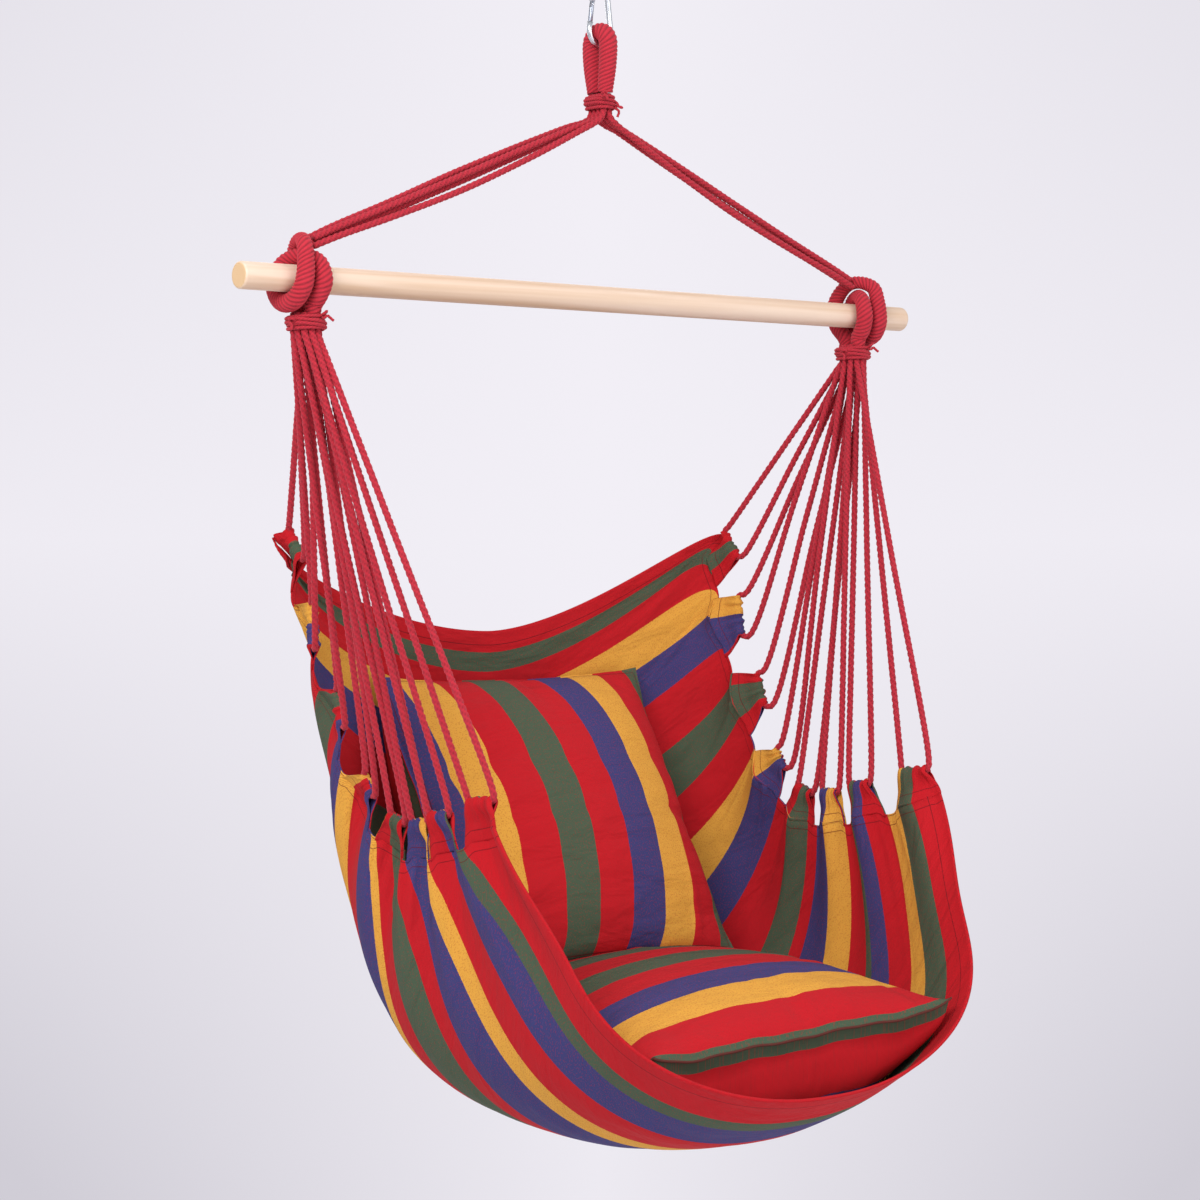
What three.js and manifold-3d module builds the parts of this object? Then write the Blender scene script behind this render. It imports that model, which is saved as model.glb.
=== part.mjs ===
// A hammock chair that hangs from one snap hook.
// Units are millimetres and +Z is up. The origin is where the hook bears on what carries it: the
// inside of its top bend. +X runs along the spreader bar and the front of the seat faces -Y.
import * as THREE from "three";
import { mergeVertices } from "three/addons/utils/BufferGeometryUtils.js";
import Module from "manifold-3d";

const wasm = await Module();
wasm.setup();

// Driving dimensions
const SEAT_GAP = 0.4;             // running and seating gap between two pieces
const OVERRUN = 2;                // how far a cut runs past the faces it opens

const HOOK_WIRE = 7;              // wire of the snap hook
const HOOK_LENGTH = 84;           // outside length of the snap hook
const HOOK_TOP_RADIUS = 9.5;      // wire's middle at the narrow top bend
const HOOK_BASKET_RADIUS = 16;    // wire's middle at the wide bottom bend
const GATE_HINGE_DROP = 27.6;     // from the hang point down to the gate's pin
const GATE_LENGTH = 20.5;         // pin to nose
const GATE_WIRE = 5.6;
const GATE_PIN = 2;               // pin's diameter
const TONGUE = 2.8;               // flat tongue that the gate's fork straddles
const TONGUE_REACH = 3.6;         // tongue past the pin
const SPRING_BORE = 2.6;
const SPRING_LENGTH = 8;

const EYE_STRAND = 22;            // served strand of the top eye
const EYE_DROP = 56;              // wire's middle down to the end of the eye's legs
const EYE_FOOT_SHARE = 0.82;      // the strand is drawn in to this share of its radius at its foot
const EYE_BEND_STEPS = 10;
const CORD = 7;                   // twisted cotton cord of the bridle and the seat
const CORD_SPACE = 0.3;           // room left between neighbouring cords
const WINDING_CORD = 3.6;         // cord of the whippings
const CLEW_TURNS = 3;             // turns of each clew whipping
const EYE_TURNS = 4;              // turns of the top whipping
const WINDING_SPACE = 0.5;        // room left between turns
const BAR_DROP = 370;             // hang point down to the bar's axis
const BAR_LENGTH = 1000;
const BAR_DIAMETER = 30;
const BAR_EDGE = 2;               // rounding of the bar's ends
const KNOT_X = 422;               // middle of each knot along the bar

const LOOP_SIDES = 6;             // sides of a winding's section
const LOOP_STEPS = 24;            // steps in each turn of a winding
const CORD_SIDES = 8;
const STRAND_SIDES = 8;
const EYE_SIDES = 10;
const WIRE_SIDES = 10;
const PIN_SIDES = 12;
const SPRING_SIDES = 8;
const BAR_SIDES = 32;
const TOP_BEND_STEPS = 7;
const BASKET_BEND_STEPS = 10;
const MERGE_WITHIN = 1e-3;        // points closer than this are one point

const V = (x, y, z) => new THREE.Vector3(x, y, z);

// Materials
const steel = new THREE.MeshStandardMaterial({ color: 0xc9ccd2, roughness: 0.28, metalness: 1 });
const rope = new THREE.MeshStandardMaterial({ color: 0xcf2e46, roughness: 0.9, metalness: 0 });
const wood = new THREE.MeshStandardMaterial({ color: 0xe6cda8, roughness: 0.6, metalness: 0 });
const cloth = new THREE.MeshStandardMaterial({ color: 0xc81e2c, roughness: 0.92, metalness: 0 });
const filling = new THREE.MeshStandardMaterial({ color: 0xf2f0ea, roughness: 1, metalness: 0 });

// Geometry helpers

// A curve through a list of points that is stepped point by point, so that a straight stretch
// needs few steps and a bend gets many.
class Route extends THREE.CatmullRomCurve3 {
  constructor(points) {
    super(points, false, "centripetal");
  }
  getPointAt(share, target) {
    return this.getPoint(share, target);
  }
  getTangentAt(share, target) {
    return this.getTangent(share, target);
  }
}

function positionsOnly(geometry) {
  const bare = geometry.clone();
  bare.deleteAttribute("normal");
  bare.deleteAttribute("uv");
  return mergeVertices(bare, MERGE_WITHIN);
}

function signedVolume(geometry) {
  const at = geometry.attributes.position;
  const index = geometry.index;
  const a = V(), b = V(), c = V();
  let six = 0;
  for (let i = 0; i < index.count; i += 3) {
    a.fromBufferAttribute(at, index.getX(i));
    b.fromBufferAttribute(at, index.getX(i + 1));
    c.fromBufferAttribute(at, index.getX(i + 2));
    six += a.dot(b.clone().cross(c));
  }
  return six / 6;
}

// A closed mesh with shared vertices and its faces turned outwards.
function closedBody(geometry) {
  const body = positionsOnly(geometry);
  if (signedVolume(body) < 0) {
    const index = body.index;
    for (let i = 0; i < index.count; i += 3) {
      const second = index.getX(i + 1);
      index.setX(i + 1, index.getX(i + 2));
      index.setX(i + 2, second);
    }
  }
  return body;
}

function toManifold(geometry) {
  const body = closedBody(geometry);
  return new wasm.Manifold(new wasm.Mesh({
    numProp: 3,
    vertProperties: new Float32Array(body.attributes.position.array),
    triVerts: new Uint32Array(body.index.array),
  }));
}

function fromManifold(solid) {
  const mesh = solid.getMesh();
  const geometry = new THREE.BufferGeometry();
  geometry.setAttribute("position", new THREE.BufferAttribute(new Float32Array(mesh.vertProperties), 3));
  geometry.setIndex(new THREE.BufferAttribute(new Uint32Array(mesh.triVerts), 1));
  return geometry;
}

function placed(geometry, position, quaternion = new THREE.Quaternion()) {
  return geometry.clone().applyMatrix4(new THREE.Matrix4().compose(position, quaternion, V(1, 1, 1)));
}

// A round bar of the given diameter from one point to another.
function roundBetween(from, to, diameter, sides) {
  const along = to.clone().sub(from);
  const turn = new THREE.Quaternion().setFromUnitVectors(V(0, 1, 0), along.clone().normalize());
  const middle = from.clone().add(to).multiplyScalar(0.5);
  return placed(new THREE.CylinderGeometry(diameter / 2, diameter / 2, along.length(), sides), middle, turn);
}

function roundSection(diameter, sides) {
  const points = [];
  for (let i = 0; i < sides; i += 1) {
    const turn = (2 * Math.PI * i) / sides;
    points.push(new THREE.Vector2((diameter / 2) * Math.cos(turn), (diameter / 2) * Math.sin(turn)));
  }
  return new THREE.Shape(points);
}

// A round cord or wire that follows a list of points, with so many steps between two of them.
function cordAlong(points, diameter, sides, stepsEach = 1) {
  const path = new Route(points);
  return new THREE.ExtrudeGeometry(roundSection(diameter, sides), {
    steps: (points.length - 1) * stepsEach,
    bevelEnabled: false,
    extrudePath: path,
  });
}

// A closed tube whose radius changes from point to point.
function strandAlong(points, radii, sides) {
  const path = new Route(points);
  const steps = points.length - 1;
  const frames = path.computeFrenetFrames(steps, false);
  const positions = [];
  const index = [];
  points.forEach((point, ring) => {
    for (let side = 0; side < sides; side += 1) {
      const turn = (2 * Math.PI * side) / sides;
      const out = frames.normals[ring].clone().multiplyScalar(Math.cos(turn));
      out.addScaledVector(frames.binormals[ring], Math.sin(turn));
      positions.push(...point.clone().addScaledVector(out, radii[ring]).toArray());
    }
  });
  const first = positions.length / 3;
  positions.push(...points[0].toArray(), ...points[steps].toArray());
  for (let ring = 0; ring < steps; ring += 1) {
    for (let side = 0; side < sides; side += 1) {
      const next = (side + 1) % sides;
      const a = ring * sides + side;
      const b = ring * sides + next;
      const c = a + sides;
      const d = b + sides;
      index.push(a, b, d, a, d, c);
    }
  }
  for (let side = 0; side < sides; side += 1) {
    const next = (side + 1) % sides;
    index.push(first, next, side);
    index.push(first + 1, steps * sides + side, steps * sides + next);
  }
  const geometry = new THREE.BufferGeometry();
  geometry.setAttribute("position", new THREE.Float32BufferAttribute(positions, 3));
  geometry.setIndex(index);
  return geometry;
}

// The least room between a tube and itself, measured on its points away from their neighbours.
function leastGap(name, points, radii) {
  let least = Infinity;
  for (let i = 0; i < points.length; i += 1) {
    let walked = 0;
    for (let j = i + 1; j < points.length; j += 1) {
      walked += points[j].distanceTo(points[j - 1]);
      const reach = radii[i] + radii[j];
      if (walked > 2 * reach) {
        least = Math.min(least, points[i].distanceTo(points[j]) - reach);
      }
    }
  }
  console.log(`${name}: least gap to itself ${least.toFixed(2)} mm`);
}

function meshNamed(name, geometry, material) {
  const mesh = new THREE.Mesh(closedBody(geometry), material);
  mesh.name = name;
  return mesh;
}

// Snap hook: a bent wire with a sprung gate on its left leg
const wireRadius = HOOK_WIRE / 2;
const topArcZ = wireRadius - HOOK_TOP_RADIUS;
const basketWireZ = wireRadius + wireRadius - HOOK_LENGTH + wireRadius;
const basketArcZ = basketWireZ + HOOK_BASKET_RADIUS;
const legLean = Math.asin((HOOK_BASKET_RADIUS - HOOK_TOP_RADIUS) / (topArcZ - basketArcZ));
const gatePin = legPoint(-GATE_HINGE_DROP);
const gateDown = V(-Math.sin(legLean), 0, -Math.cos(legLean));
const gateNose = gatePin.clone().addScaledVector(gateDown, GATE_LENGTH);

// A point of the left leg's middle line at a height.
function legPoint(z) {
  const top = V(-HOOK_TOP_RADIUS * Math.cos(legLean), 0, topArcZ + HOOK_TOP_RADIUS * Math.sin(legLean));
  return V(top.x - (top.z - z) * Math.tan(legLean), 0, z);
}

function arcPoints(centreZ, radius, fromTurn, toTurn, count) {
  const points = [];
  for (let i = 0; i <= count; i += 1) {
    const turn = fromTurn + ((toTurn - fromTurn) * i) / count;
    points.push(V(radius * Math.cos(turn), 0, centreZ + radius * Math.sin(turn)));
  }
  return points;
}

function snapHookBody() {
  const noseStart = gateNose.clone().addScaledVector(gateDown, SEAT_GAP);
  const shoulder = gatePin.clone().addScaledVector(gateDown, -(TONGUE_REACH + SEAT_GAP));
  const wirePoints = [
    shoulder,
    ...arcPoints(topArcZ, HOOK_TOP_RADIUS, Math.PI - legLean, legLean, TOP_BEND_STEPS),
    ...arcPoints(basketArcZ, HOOK_BASKET_RADIUS, legLean, -Math.PI - legLean, BASKET_BEND_STEPS),
    noseStart,
  ];
  const wire = toManifold(cordAlong(wirePoints, HOOK_WIRE, WIRE_SIDES));
  const tongueLength = 2 * TONGUE_REACH + SEAT_GAP + OVERRUN;
  const lean = new THREE.Quaternion().setFromAxisAngle(V(0, 1, 0), legLean);
  const tongueMiddle = gatePin.clone().addScaledVector(gateDown, TONGUE_REACH - tongueLength / 2);
  const tongue = toManifold(placed(
    new THREE.BoxGeometry(TONGUE_REACH, TONGUE, tongueLength), tongueMiddle, lean));
  return fromManifold(wire.add(tongue).subtract(pinBore()));
}

function pinBore() {
  const half = V(0, HOOK_WIRE / 2 + OVERRUN, 0);
  const bore = GATE_PIN + SEAT_GAP;
  return toManifold(roundBetween(gatePin.clone().sub(half), gatePin.clone().add(half), bore, PIN_SIDES));
}

// The fork that straddles the tongue starts above the pin and its slot ends below it.
function snapHookGate() {
  const start = gatePin.clone().addScaledVector(gateDown, -TONGUE_REACH);
  const rod = toManifold(roundBetween(start, gateNose, GATE_WIRE, WIRE_SIDES));
  const lean = new THREE.Quaternion().setFromAxisAngle(V(0, 1, 0), legLean);
  const slotLength = 2 * (TONGUE_REACH + SEAT_GAP) + OVERRUN;
  const slotMiddle = gatePin.clone().addScaledVector(gateDown, TONGUE_REACH + SEAT_GAP - slotLength / 2);
  const slot = toManifold(placed(
    new THREE.BoxGeometry(GATE_WIRE + OVERRUN, TONGUE + 2 * SEAT_GAP, slotLength), slotMiddle, lean));
  const springEnd = springStart().addScaledVector(gateDown, SPRING_LENGTH + SEAT_GAP);
  const springTop = springStart().addScaledVector(gateDown, -OVERRUN);
  const springBore = toManifold(roundBetween(springTop, springEnd, SPRING_BORE, SPRING_SIDES));
  return fromManifold(rod.subtract(slot).subtract(pinBore()).subtract(springBore));
}

function springStart() {
  return gatePin.clone().addScaledVector(gateDown, TONGUE_REACH + SEAT_GAP);
}

function gateSpring() {
  const end = springStart().addScaledVector(gateDown, SPRING_LENGTH);
  return roundBetween(springStart(), end, SPRING_BORE - 2 * SEAT_GAP, SPRING_SIDES);
}

function gatePinRod() {
  const half = V(0, HOOK_WIRE / 2, 0);
  return roundBetween(gatePin.clone().sub(half), gatePin.clone().add(half), GATE_PIN, PIN_SIDES);
}

// Top eye: one served strand over the hook's bottom bend, in the plane that faces along the bar
const eyeRadius = wireRadius + SEAT_GAP + EYE_STRAND / 2;
// Points of the eye's leg from its foot up: shares of its drop and of its opening.
const EYE_LEG = [[1, 0], [0.86, 0.16], [0.7, 0.42], [0.45, 0.78], [0.2, 0.98]];

function topEye() {
  const strand = EYE_STRAND / 2;
  const points = [];
  const radii = [];
  const footHalf = strand * EYE_FOOT_SHARE + SEAT_GAP;
  const legPoints = EYE_LEG.map(([down, out]) => V(
    0, footHalf + (eyeRadius - footHalf) * out, basketWireZ - EYE_DROP * down));
  const legRadii = EYE_LEG.map(([down]) => strand * (1 - (1 - EYE_FOOT_SHARE) * down * down));
  points.push(...legPoints);
  radii.push(...legRadii);
  for (let i = 0; i <= EYE_BEND_STEPS; i += 1) {
    const turn = (Math.PI * i) / EYE_BEND_STEPS;
    points.push(V(0, eyeRadius * Math.cos(turn), basketWireZ + eyeRadius * Math.sin(turn)));
    radii.push(strand);
  }
  points.push(...legPoints.map((point) => V(0, -point.y, point.z)).reverse());
  radii.push(...legRadii.reverse());
  leastGap("top_eye", points, radii);
  return strandAlong(points, radii, EYE_SIDES);
}

// A whipping: a cord wound round a bundle whose outline is two half circles set a length apart.
// It winds down at a steady rate and its ends run straight for one diameter.
function whipping(centre, innerRadius, straight, turns, top) {
  const radius = innerRadius + SEAT_GAP + WINDING_CORD / 2;
  const pitch = WINDING_CORD + WINDING_SPACE;
  const points = [];
  const count = turns * LOOP_STEPS;
  for (let i = 0; i <= count; i += 1) {
    const turn = (2 * Math.PI * i) / LOOP_STEPS;
    const side = Math.sin(turn) >= 0 ? 1 : -1;
    const shift = Math.abs(Math.sin(turn)) < 1e-9 ? 0 : side * (straight / 2);
    points.push(V(
      centre.x + radius * Math.cos(turn),
      centre.y + radius * Math.sin(turn) + shift,
      top - WINDING_CORD / 2 - (pitch * i) / LOOP_STEPS));
  }
  const lead = points[0].clone().add(V(0, -WINDING_CORD, 0));
  const tail = points[count].clone().add(V(0, WINDING_CORD, 0));
  points.unshift(lead);
  points.push(tail);
  const radii = points.map(() => WINDING_CORD / 2);
  leastGap("whipping", points, radii);
  return strandAlong(points, radii, LOOP_SIDES);
}

// Everything below hangs on the eye and is placed from the bar's axis.

// Spreader bar: a dowel with softened ends
function spreaderBar() {
  const radius = BAR_DIAMETER / 2;
  const half = BAR_LENGTH / 2;
  const profile = [
    new THREE.Vector2(0, -half),
    new THREE.Vector2(radius - BAR_EDGE, -half),
    new THREE.Vector2(radius, BAR_EDGE - half),
    new THREE.Vector2(radius, half - BAR_EDGE),
    new THREE.Vector2(radius - BAR_EDGE, half),
    new THREE.Vector2(0, half),
  ];
  return new THREE.LatheGeometry(profile, BAR_SIDES).rotateZ(-Math.PI / 2);
}

// Clew eye: one served strand that leaves the whipping in front of the bar, crosses over the top
// outwards, comes round once more and crosses back inwards over itself. Each row is the strand's
// middle, outwards along the bar, backwards and up from the bar's axis, and its radius there.
const CLEW_EYE_ROUTE = [
  [-9.5, -11.2, -33.2, 9.5], [-10, -12.6, -27, 9.8], [-11, -20.2, -18, 10.3], [-13, -26.4, -2, 10.5],
  [-11, -20.8, 16.2, 9.8], [-5, -9, 24, 8.7], [2, 4, 24.4, 8.2], [8, 16.8, 18.8, 9],
  [12.5, 25.8, 4, 10.3], [14.5, 24.8, -10, 10.5], [15.5, 14, -23, 10.5], [16, 0, -26.8, 10.5],
  [15, -14.7, -22.6, 10.5], [12.5, -25.2, -9.6, 10.5], [11, -27.4, 3, 10.2], [9.6, -26.2, 17.4, 9.7],
  [7.8, -21, 34.6, 8.9], [0, -4, 42.4, 8], [-5, 12, 39.5, 8.5], [-9.5, 25, 25, 9.3],
  [-11, 30, 8, 10], [-9.5, 26.5, -11, 10], [-8.5, 13.6, -26, 9.6], [-7.5, 11.2, -33.2, 9.5],
];
const WHIPPING_OUTWARD = -8;       // middle of the clew whipping from the knot's middle
const CLEW_TOP = -36.6;            // top of the cords inside the clew whipping

function clewEye(side) {
  const middle = CLEW_EYE_ROUTE.map(([out, back, up]) => V(side * (KNOT_X + out), back, up));
  const curve = new Route(middle);
  const points = curve.getPoints((middle.length - 1) * 2);
  const radii = points.map((point, i) => {
    const row = Math.floor(i / 2);
    const here = CLEW_EYE_ROUTE[row][3];
    return i % 2 ? (here + CLEW_EYE_ROUTE[row + 1][3]) / 2 : here;
  });
  leastGap("clew_eye", points, radii);
  return strandAlong(points, radii, STRAND_SIDES);
}

// Bridle: four cords a side from the top whipping to the knot. Each row is a point of the cord,
// out from the middle line, back and up from the bar's axis, for knots at BRIDLE_KNOT_X.
const BRIDLE_KNOT_X = 415;
const BRIDLE_ROUTES = [
  [[3.65, -10.95, 239], [3.65, -10.95, 222], [6, -10.9, 212], [14, -10.8, 205], [40, -10.4, 191],
    [108, -9.6, 156], [205, -8.4, 111], [300, -7.2, 74], [370, -6.4, 48.5], [402, -6, 35.5]],
  [[3.65, -3.65, 239], [3.65, -3.65, 222], [6, -3.65, 212], [14, -3.6, 205.8], [40, -3.5, 196],
    [108, -3.4, 168], [205, -3.1, 126.5], [300, -2.8, 86.5], [370, -3, 58], [399.6, -3.4, 44.8]],
  [[3.65, 3.65, 239], [3.65, 3.65, 222], [6, 3.65, 212], [14, 3.6, 205.4], [40, 3.5, 193],
    [108, 3.2, 162], [205, 2.8, 119.5], [300, 2.4, 79.5], [370, 2.1, 51.2], [402.8, 2.2, 37.2]],
  [[3.65, 10.95, 239], [3.65, 10.95, 222], [6, 10.9, 212], [14, 10.8, 206.4], [40, 10.4, 198],
    [108, 9.6, 171.5], [205, 8.3, 131.5], [300, 7, 89.5], [370, 5.9, 60], [399, 5.4, 46.2]],
];

function bridleCord(side, row) {
  const reach = KNOT_X / BRIDLE_KNOT_X;
  const points = BRIDLE_ROUTES[row].map(([out, back, up]) => V(side * out * reach, back, up));
  return cordAlong(points, CORD, CORD_SIDES);
}

// Cord ends in the clew: five slots round the middle and eleven round those
const slotReach = (CORD + CORD_SPACE) / 2;
const INNER_SLOTS = 5;
const OUTER_SLOTS = 11;
const INNER_RING_SHARE = 1.72;     // rings of slots, as shares of half a slot's width
const OUTER_RING_SHARE = 3.75;
const bundleRadius = slotReach * OUTER_RING_SHARE + CORD / 2;

function slotPlace(number) {
  const inner = number < INNER_SLOTS;
  const count = inner ? INNER_SLOTS : OUTER_SLOTS;
  const place = inner ? number + 0.25 : number - INNER_SLOTS + 0.5;
  const reach = slotReach * (inner ? INNER_RING_SHARE : OUTER_RING_SHARE);
  const turn = (2 * Math.PI * place) / count;
  return [reach * Math.cos(turn), reach * Math.sin(turn)];
}

// Tabs of the cloth, from the front to the back: the middle of each cord's turn, the direction of
// its sleeve towards the front, how wide the turn is and the slots of its two legs.
const TABS = [
  { middle: [326, -193, -548], ahead: [0, -0.994, 0.108], width: 46, slots: [12, 13] },
  { middle: [318, -109, -569], ahead: [0, -0.991, 0.13], width: 38, slots: [14, 4] },
  { middle: [311, -66, -581], ahead: [0, -0.997, 0.08], width: 30, slots: [11, 3] },
  { middle: [310, -25, -581], ahead: [0, -0.957, -0.29], width: 30, slots: [15, 0] },
  { middle: [315, 20, -549], ahead: [0, -0.6, -0.8], width: 32, slots: [10, 2] },
  { middle: [324, 63, -467], ahead: [0, -0.33, -0.94], width: 46, slots: [5, 1] },
  { middle: [330, 108, -376], ahead: [0, -0.12, -0.99], width: 54, slots: [9, 6] },
  { middle: [336, 133, -283], ahead: [0, -0.65, -0.76], width: 46, slots: [7, 8] },
];
const TURN_RISE = 12;              // where a leg leaves the turn, above the sleeve's axis
const SLEEVE_DROP = 9;             // sleeve's axis under the turn's middle
const SLEEVE_INSET = 8;            // sleeve's end short of the turn's side
const SLEEVE_WALL = 1.6;
const TAB_HEIGHT = 34;             // sleeve's axis down to the seam
const TAB_THICKNESS = 2.4;
const TAB_OVERLAP = 7;             // how far a tab runs past the seam into the cloth
const TURN_BEND = [[1.2, 4.5], [4, 1.2]];   // a turn's corner: in from its side, up from its axis
const LEG_BEND_SHARE = 0.04;       // a leg bends within this share of its length
const LEG_STRAIGHT = 57;           // bar's axis down to where the cords leave the clew

const clew = V(KNOT_X + WHIPPING_OUTWARD, 0, -LEG_STRAIGHT);

// The right side's tab in its own directions.
function tabFrame(tab) {
  const middle = V(...tab.middle);
  const ahead = V(...tab.ahead).normalize();
  const rise = clew.clone().sub(middle).normalize();
  rise.addScaledVector(ahead, -rise.dot(ahead)).normalize();
  const sleeve = middle.clone().addScaledVector(rise, -SLEEVE_DROP);
  return { ahead, rise, sleeve, half: tab.width / 2 };
}

function seatCordPoints(tab) {
  const { ahead, rise, sleeve, half } = tabFrame(tab);
  const along = (reach, up) => sleeve.clone().addScaledVector(ahead, reach).addScaledVector(rise, up);
  const leg = (slot, end) => {
    const [x, y] = slotPlace(slot);
    const head = V(KNOT_X + WHIPPING_OUTWARD + x, y, CLEW_TOP);
    const bend = V(head.x, head.y, -LEG_STRAIGHT);
    return [head, bend, bend.clone().lerp(end, LEG_BEND_SHARE), bend.clone().lerp(end, 1 / 2)];
  };
  const front = along(half, TURN_RISE);
  const back = along(-half, TURN_RISE);
  const corner = (way) => TURN_BEND.map(([inward, up]) => along(way * (half - inward), up));
  return [
    ...leg(tab.slots[0], front),
    front, ...corner(1), along(half - SLEEVE_INSET, 0),
    along(SLEEVE_INSET - half, 0), ...corner(-1).reverse(), back,
    ...leg(tab.slots[1], back).reverse(),
  ];
}

function seatCord(side, tab) {
  const points = seatCordPoints(tab).map((point) => V(side * point.x, point.y, point.z));
  return cordAlong(points, CORD, CORD_SIDES);
}

// Sling: one sheet of cloth, gathered at its sides between the tabs
const CLOTH = 2;                   // doubled and hemmed cloth
const PLEAT_OUT = 9;               // how far a fold between two tabs stands out
const PLEAT_DIP = 8;               // how far the edge dips between two tabs
const SIDE_ROUND_SHARE = 0.89;     // how square the cross section's sides are
const SIDE_BULGE_SHARE = 0.21;     // how far the sides stand out past the tabs
const FRONT_BULGE_SHARE = 0.06;    // the same at the front hem
const FRONT_SHARE = 0.62;          // share of the length where the sides begin to straighten
const CORNER_RISE = 14;            // how far a hem's corners rise to their tabs
const CORNER_SHARE = 0.06;         // share of the length over which they do
const BACK_SHARE = 0.55;           // the cloth is flatter over this share of it from its back
const BACK_OUT_POWER = 0.25;       // how much squarer its sides are there
const BACK_UP_POWER = 0.9;
const CREST_SHARE = 0.6;           // how far the cloth draws in at a tab, as a share of a fold
const COLUMNS_PER_TAB = 4;
const ROWS = 7;
const EDGE_FRONT = [326, -226, -590];
const EDGE_BACK = [338, 160, -292];
// The middle line of the cloth from its back hem to its front hem.
const MIDDLE_LINE = [
  [208, -392], [214, -480], [214, -600], [198, -725], [150, -848], [45, -936], [-100, -962],
  [-230, -950], [-330, -915], [-400, -872],
];

const middleLine = new THREE.CatmullRomCurve3(MIDDLE_LINE.map(([y, z]) => V(0, y, z)));
const tabsFromBack = [...TABS].reverse();
const seamPoints = tabsFromBack.map((tab) => {
  const { rise, sleeve } = tabFrame(tab);
  return sleeve.clone().addScaledVector(rise, -TAB_HEIGHT);
});

// The cloth's edge at a share of its length, through the foot of each tab.
function edgePoint(share) {
  const knots = [V(...EDGE_BACK), ...seamPoints, V(...EDGE_FRONT)];
  const places = [0, ...seamPoints.map((_, i) => (i + 0.5) / TABS.length), 1];
  let i = 0;
  while (i < places.length - 2 && share > places[i + 1]) {
    i += 1;
  }
  const part = (share - places[i]) / (places[i + 1] - places[i]);
  return knots[i].clone().lerp(knots[i + 1], part);
}

// A point of the sheet's middle surface: from the back hem to the front one, and from the left
// edge at -1 to the right edge at 1.
function slingPoint(column, across) {
  const share = column / (COLUMNS_PER_TAB * TABS.length);
  const edge = edgePoint(share);
  const middle = middleLine.getPointAt(share);
  const turn = Math.abs(across) * (Math.PI / 2);
  const flat = Math.max(0, 1 - share / BACK_SHARE);
  const ahead = Math.max(0, (share - FRONT_SHARE) / (1 - FRONT_SHARE));
  const fullness = SIDE_BULGE_SHARE + (FRONT_BULGE_SHARE - SIDE_BULGE_SHARE) * ahead;
  const bulge = 1 + fullness * Math.cos(turn) * (1 - flat);
  const power = SIDE_ROUND_SHARE + BACK_OUT_POWER * flat;
  const out = Math.pow(Math.sin(turn), power) * bulge;
  const up = 1 - Math.pow(Math.max(Math.cos(turn), 0), SIDE_ROUND_SHARE + BACK_UP_POWER * flat);
  const point = V(edge.x * out, middle.y + (edge.y - middle.y) * up, middle.z + (edge.z - middle.z) * up);
  const fade = Math.pow(Math.abs(across), 3);
  const fold = column % COLUMNS_PER_TAB === 0 ? 1 : 0;
  const crest = column % COLUMNS_PER_TAB === 2 ? 1 : 0;
  point.x += PLEAT_OUT * fade * (fold - crest * CREST_SHARE);
  const corner = Math.max(0, 1 - Math.min(share, 1 - share) / CORNER_SHARE);
  point.z += (CORNER_RISE * corner - PLEAT_DIP * fold * (1 - corner)) * Math.pow(Math.abs(across), 8);
  if (across < 0) {
    point.x = -point.x;
  }
  return point;
}

function slingSheet() {
  const columns = COLUMNS_PER_TAB * TABS.length;
  const grid = [];
  for (let i = 0; i <= columns; i += 1) {
    const line = [];
    for (let j = 0; j <= ROWS; j += 1) {
      line.push(slingPoint(i, (2 * j) / ROWS - 1));
    }
    grid.push(line);
  }
  return sheetFromGrid(grid, CLOTH);
}

// A closed sheet of a thickness about a grid of points.
function sheetFromGrid(grid, thickness) {
  const columns = grid.length;
  const rows = grid[0].length;
  const at = (i, j) => grid[Math.min(Math.max(i, 0), columns - 1)][Math.min(Math.max(j, 0), rows - 1)];
  const positions = [];
  for (const sign of [1, -1]) {
    for (let i = 0; i < columns; i += 1) {
      for (let j = 0; j < rows; j += 1) {
        const along = at(i + 1, j).clone().sub(at(i - 1, j));
        const over = at(i, j + 1).clone().sub(at(i, j - 1));
        const out = along.cross(over).normalize();
        positions.push(...at(i, j).clone().addScaledVector(out, (sign * thickness) / 2).toArray());
      }
    }
  }
  const number = (layer, i, j) => layer * columns * rows + i * rows + j;
  const index = [];
  for (let i = 0; i < columns - 1; i += 1) {
    for (let j = 0; j < rows - 1; j += 1) {
      index.push(number(0, i, j), number(0, i + 1, j), number(0, i + 1, j + 1));
      index.push(number(0, i, j), number(0, i + 1, j + 1), number(0, i, j + 1));
      index.push(number(1, i, j), number(1, i + 1, j + 1), number(1, i + 1, j));
      index.push(number(1, i, j), number(1, i, j + 1), number(1, i + 1, j + 1));
    }
  }
  const rim = [];
  for (let i = 0; i < columns - 1; i += 1) {
    rim.push([i, 0]);
  }
  for (let j = 0; j < rows - 1; j += 1) {
    rim.push([columns - 1, j]);
  }
  for (let i = columns - 1; i > 0; i -= 1) {
    rim.push([i, rows - 1]);
  }
  for (let j = rows - 1; j > 0; j -= 1) {
    rim.push([0, j]);
  }
  rim.forEach(([i, j], place) => {
    const [k, l] = rim[(place + 1) % rim.length];
    index.push(number(0, i, j), number(1, i, j), number(0, k, l));
    index.push(number(0, k, l), number(1, i, j), number(1, k, l));
  });
  const geometry = new THREE.BufferGeometry();
  geometry.setAttribute("position", new THREE.Float32BufferAttribute(positions, 3));
  geometry.setIndex(index);
  return geometry;
}

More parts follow.
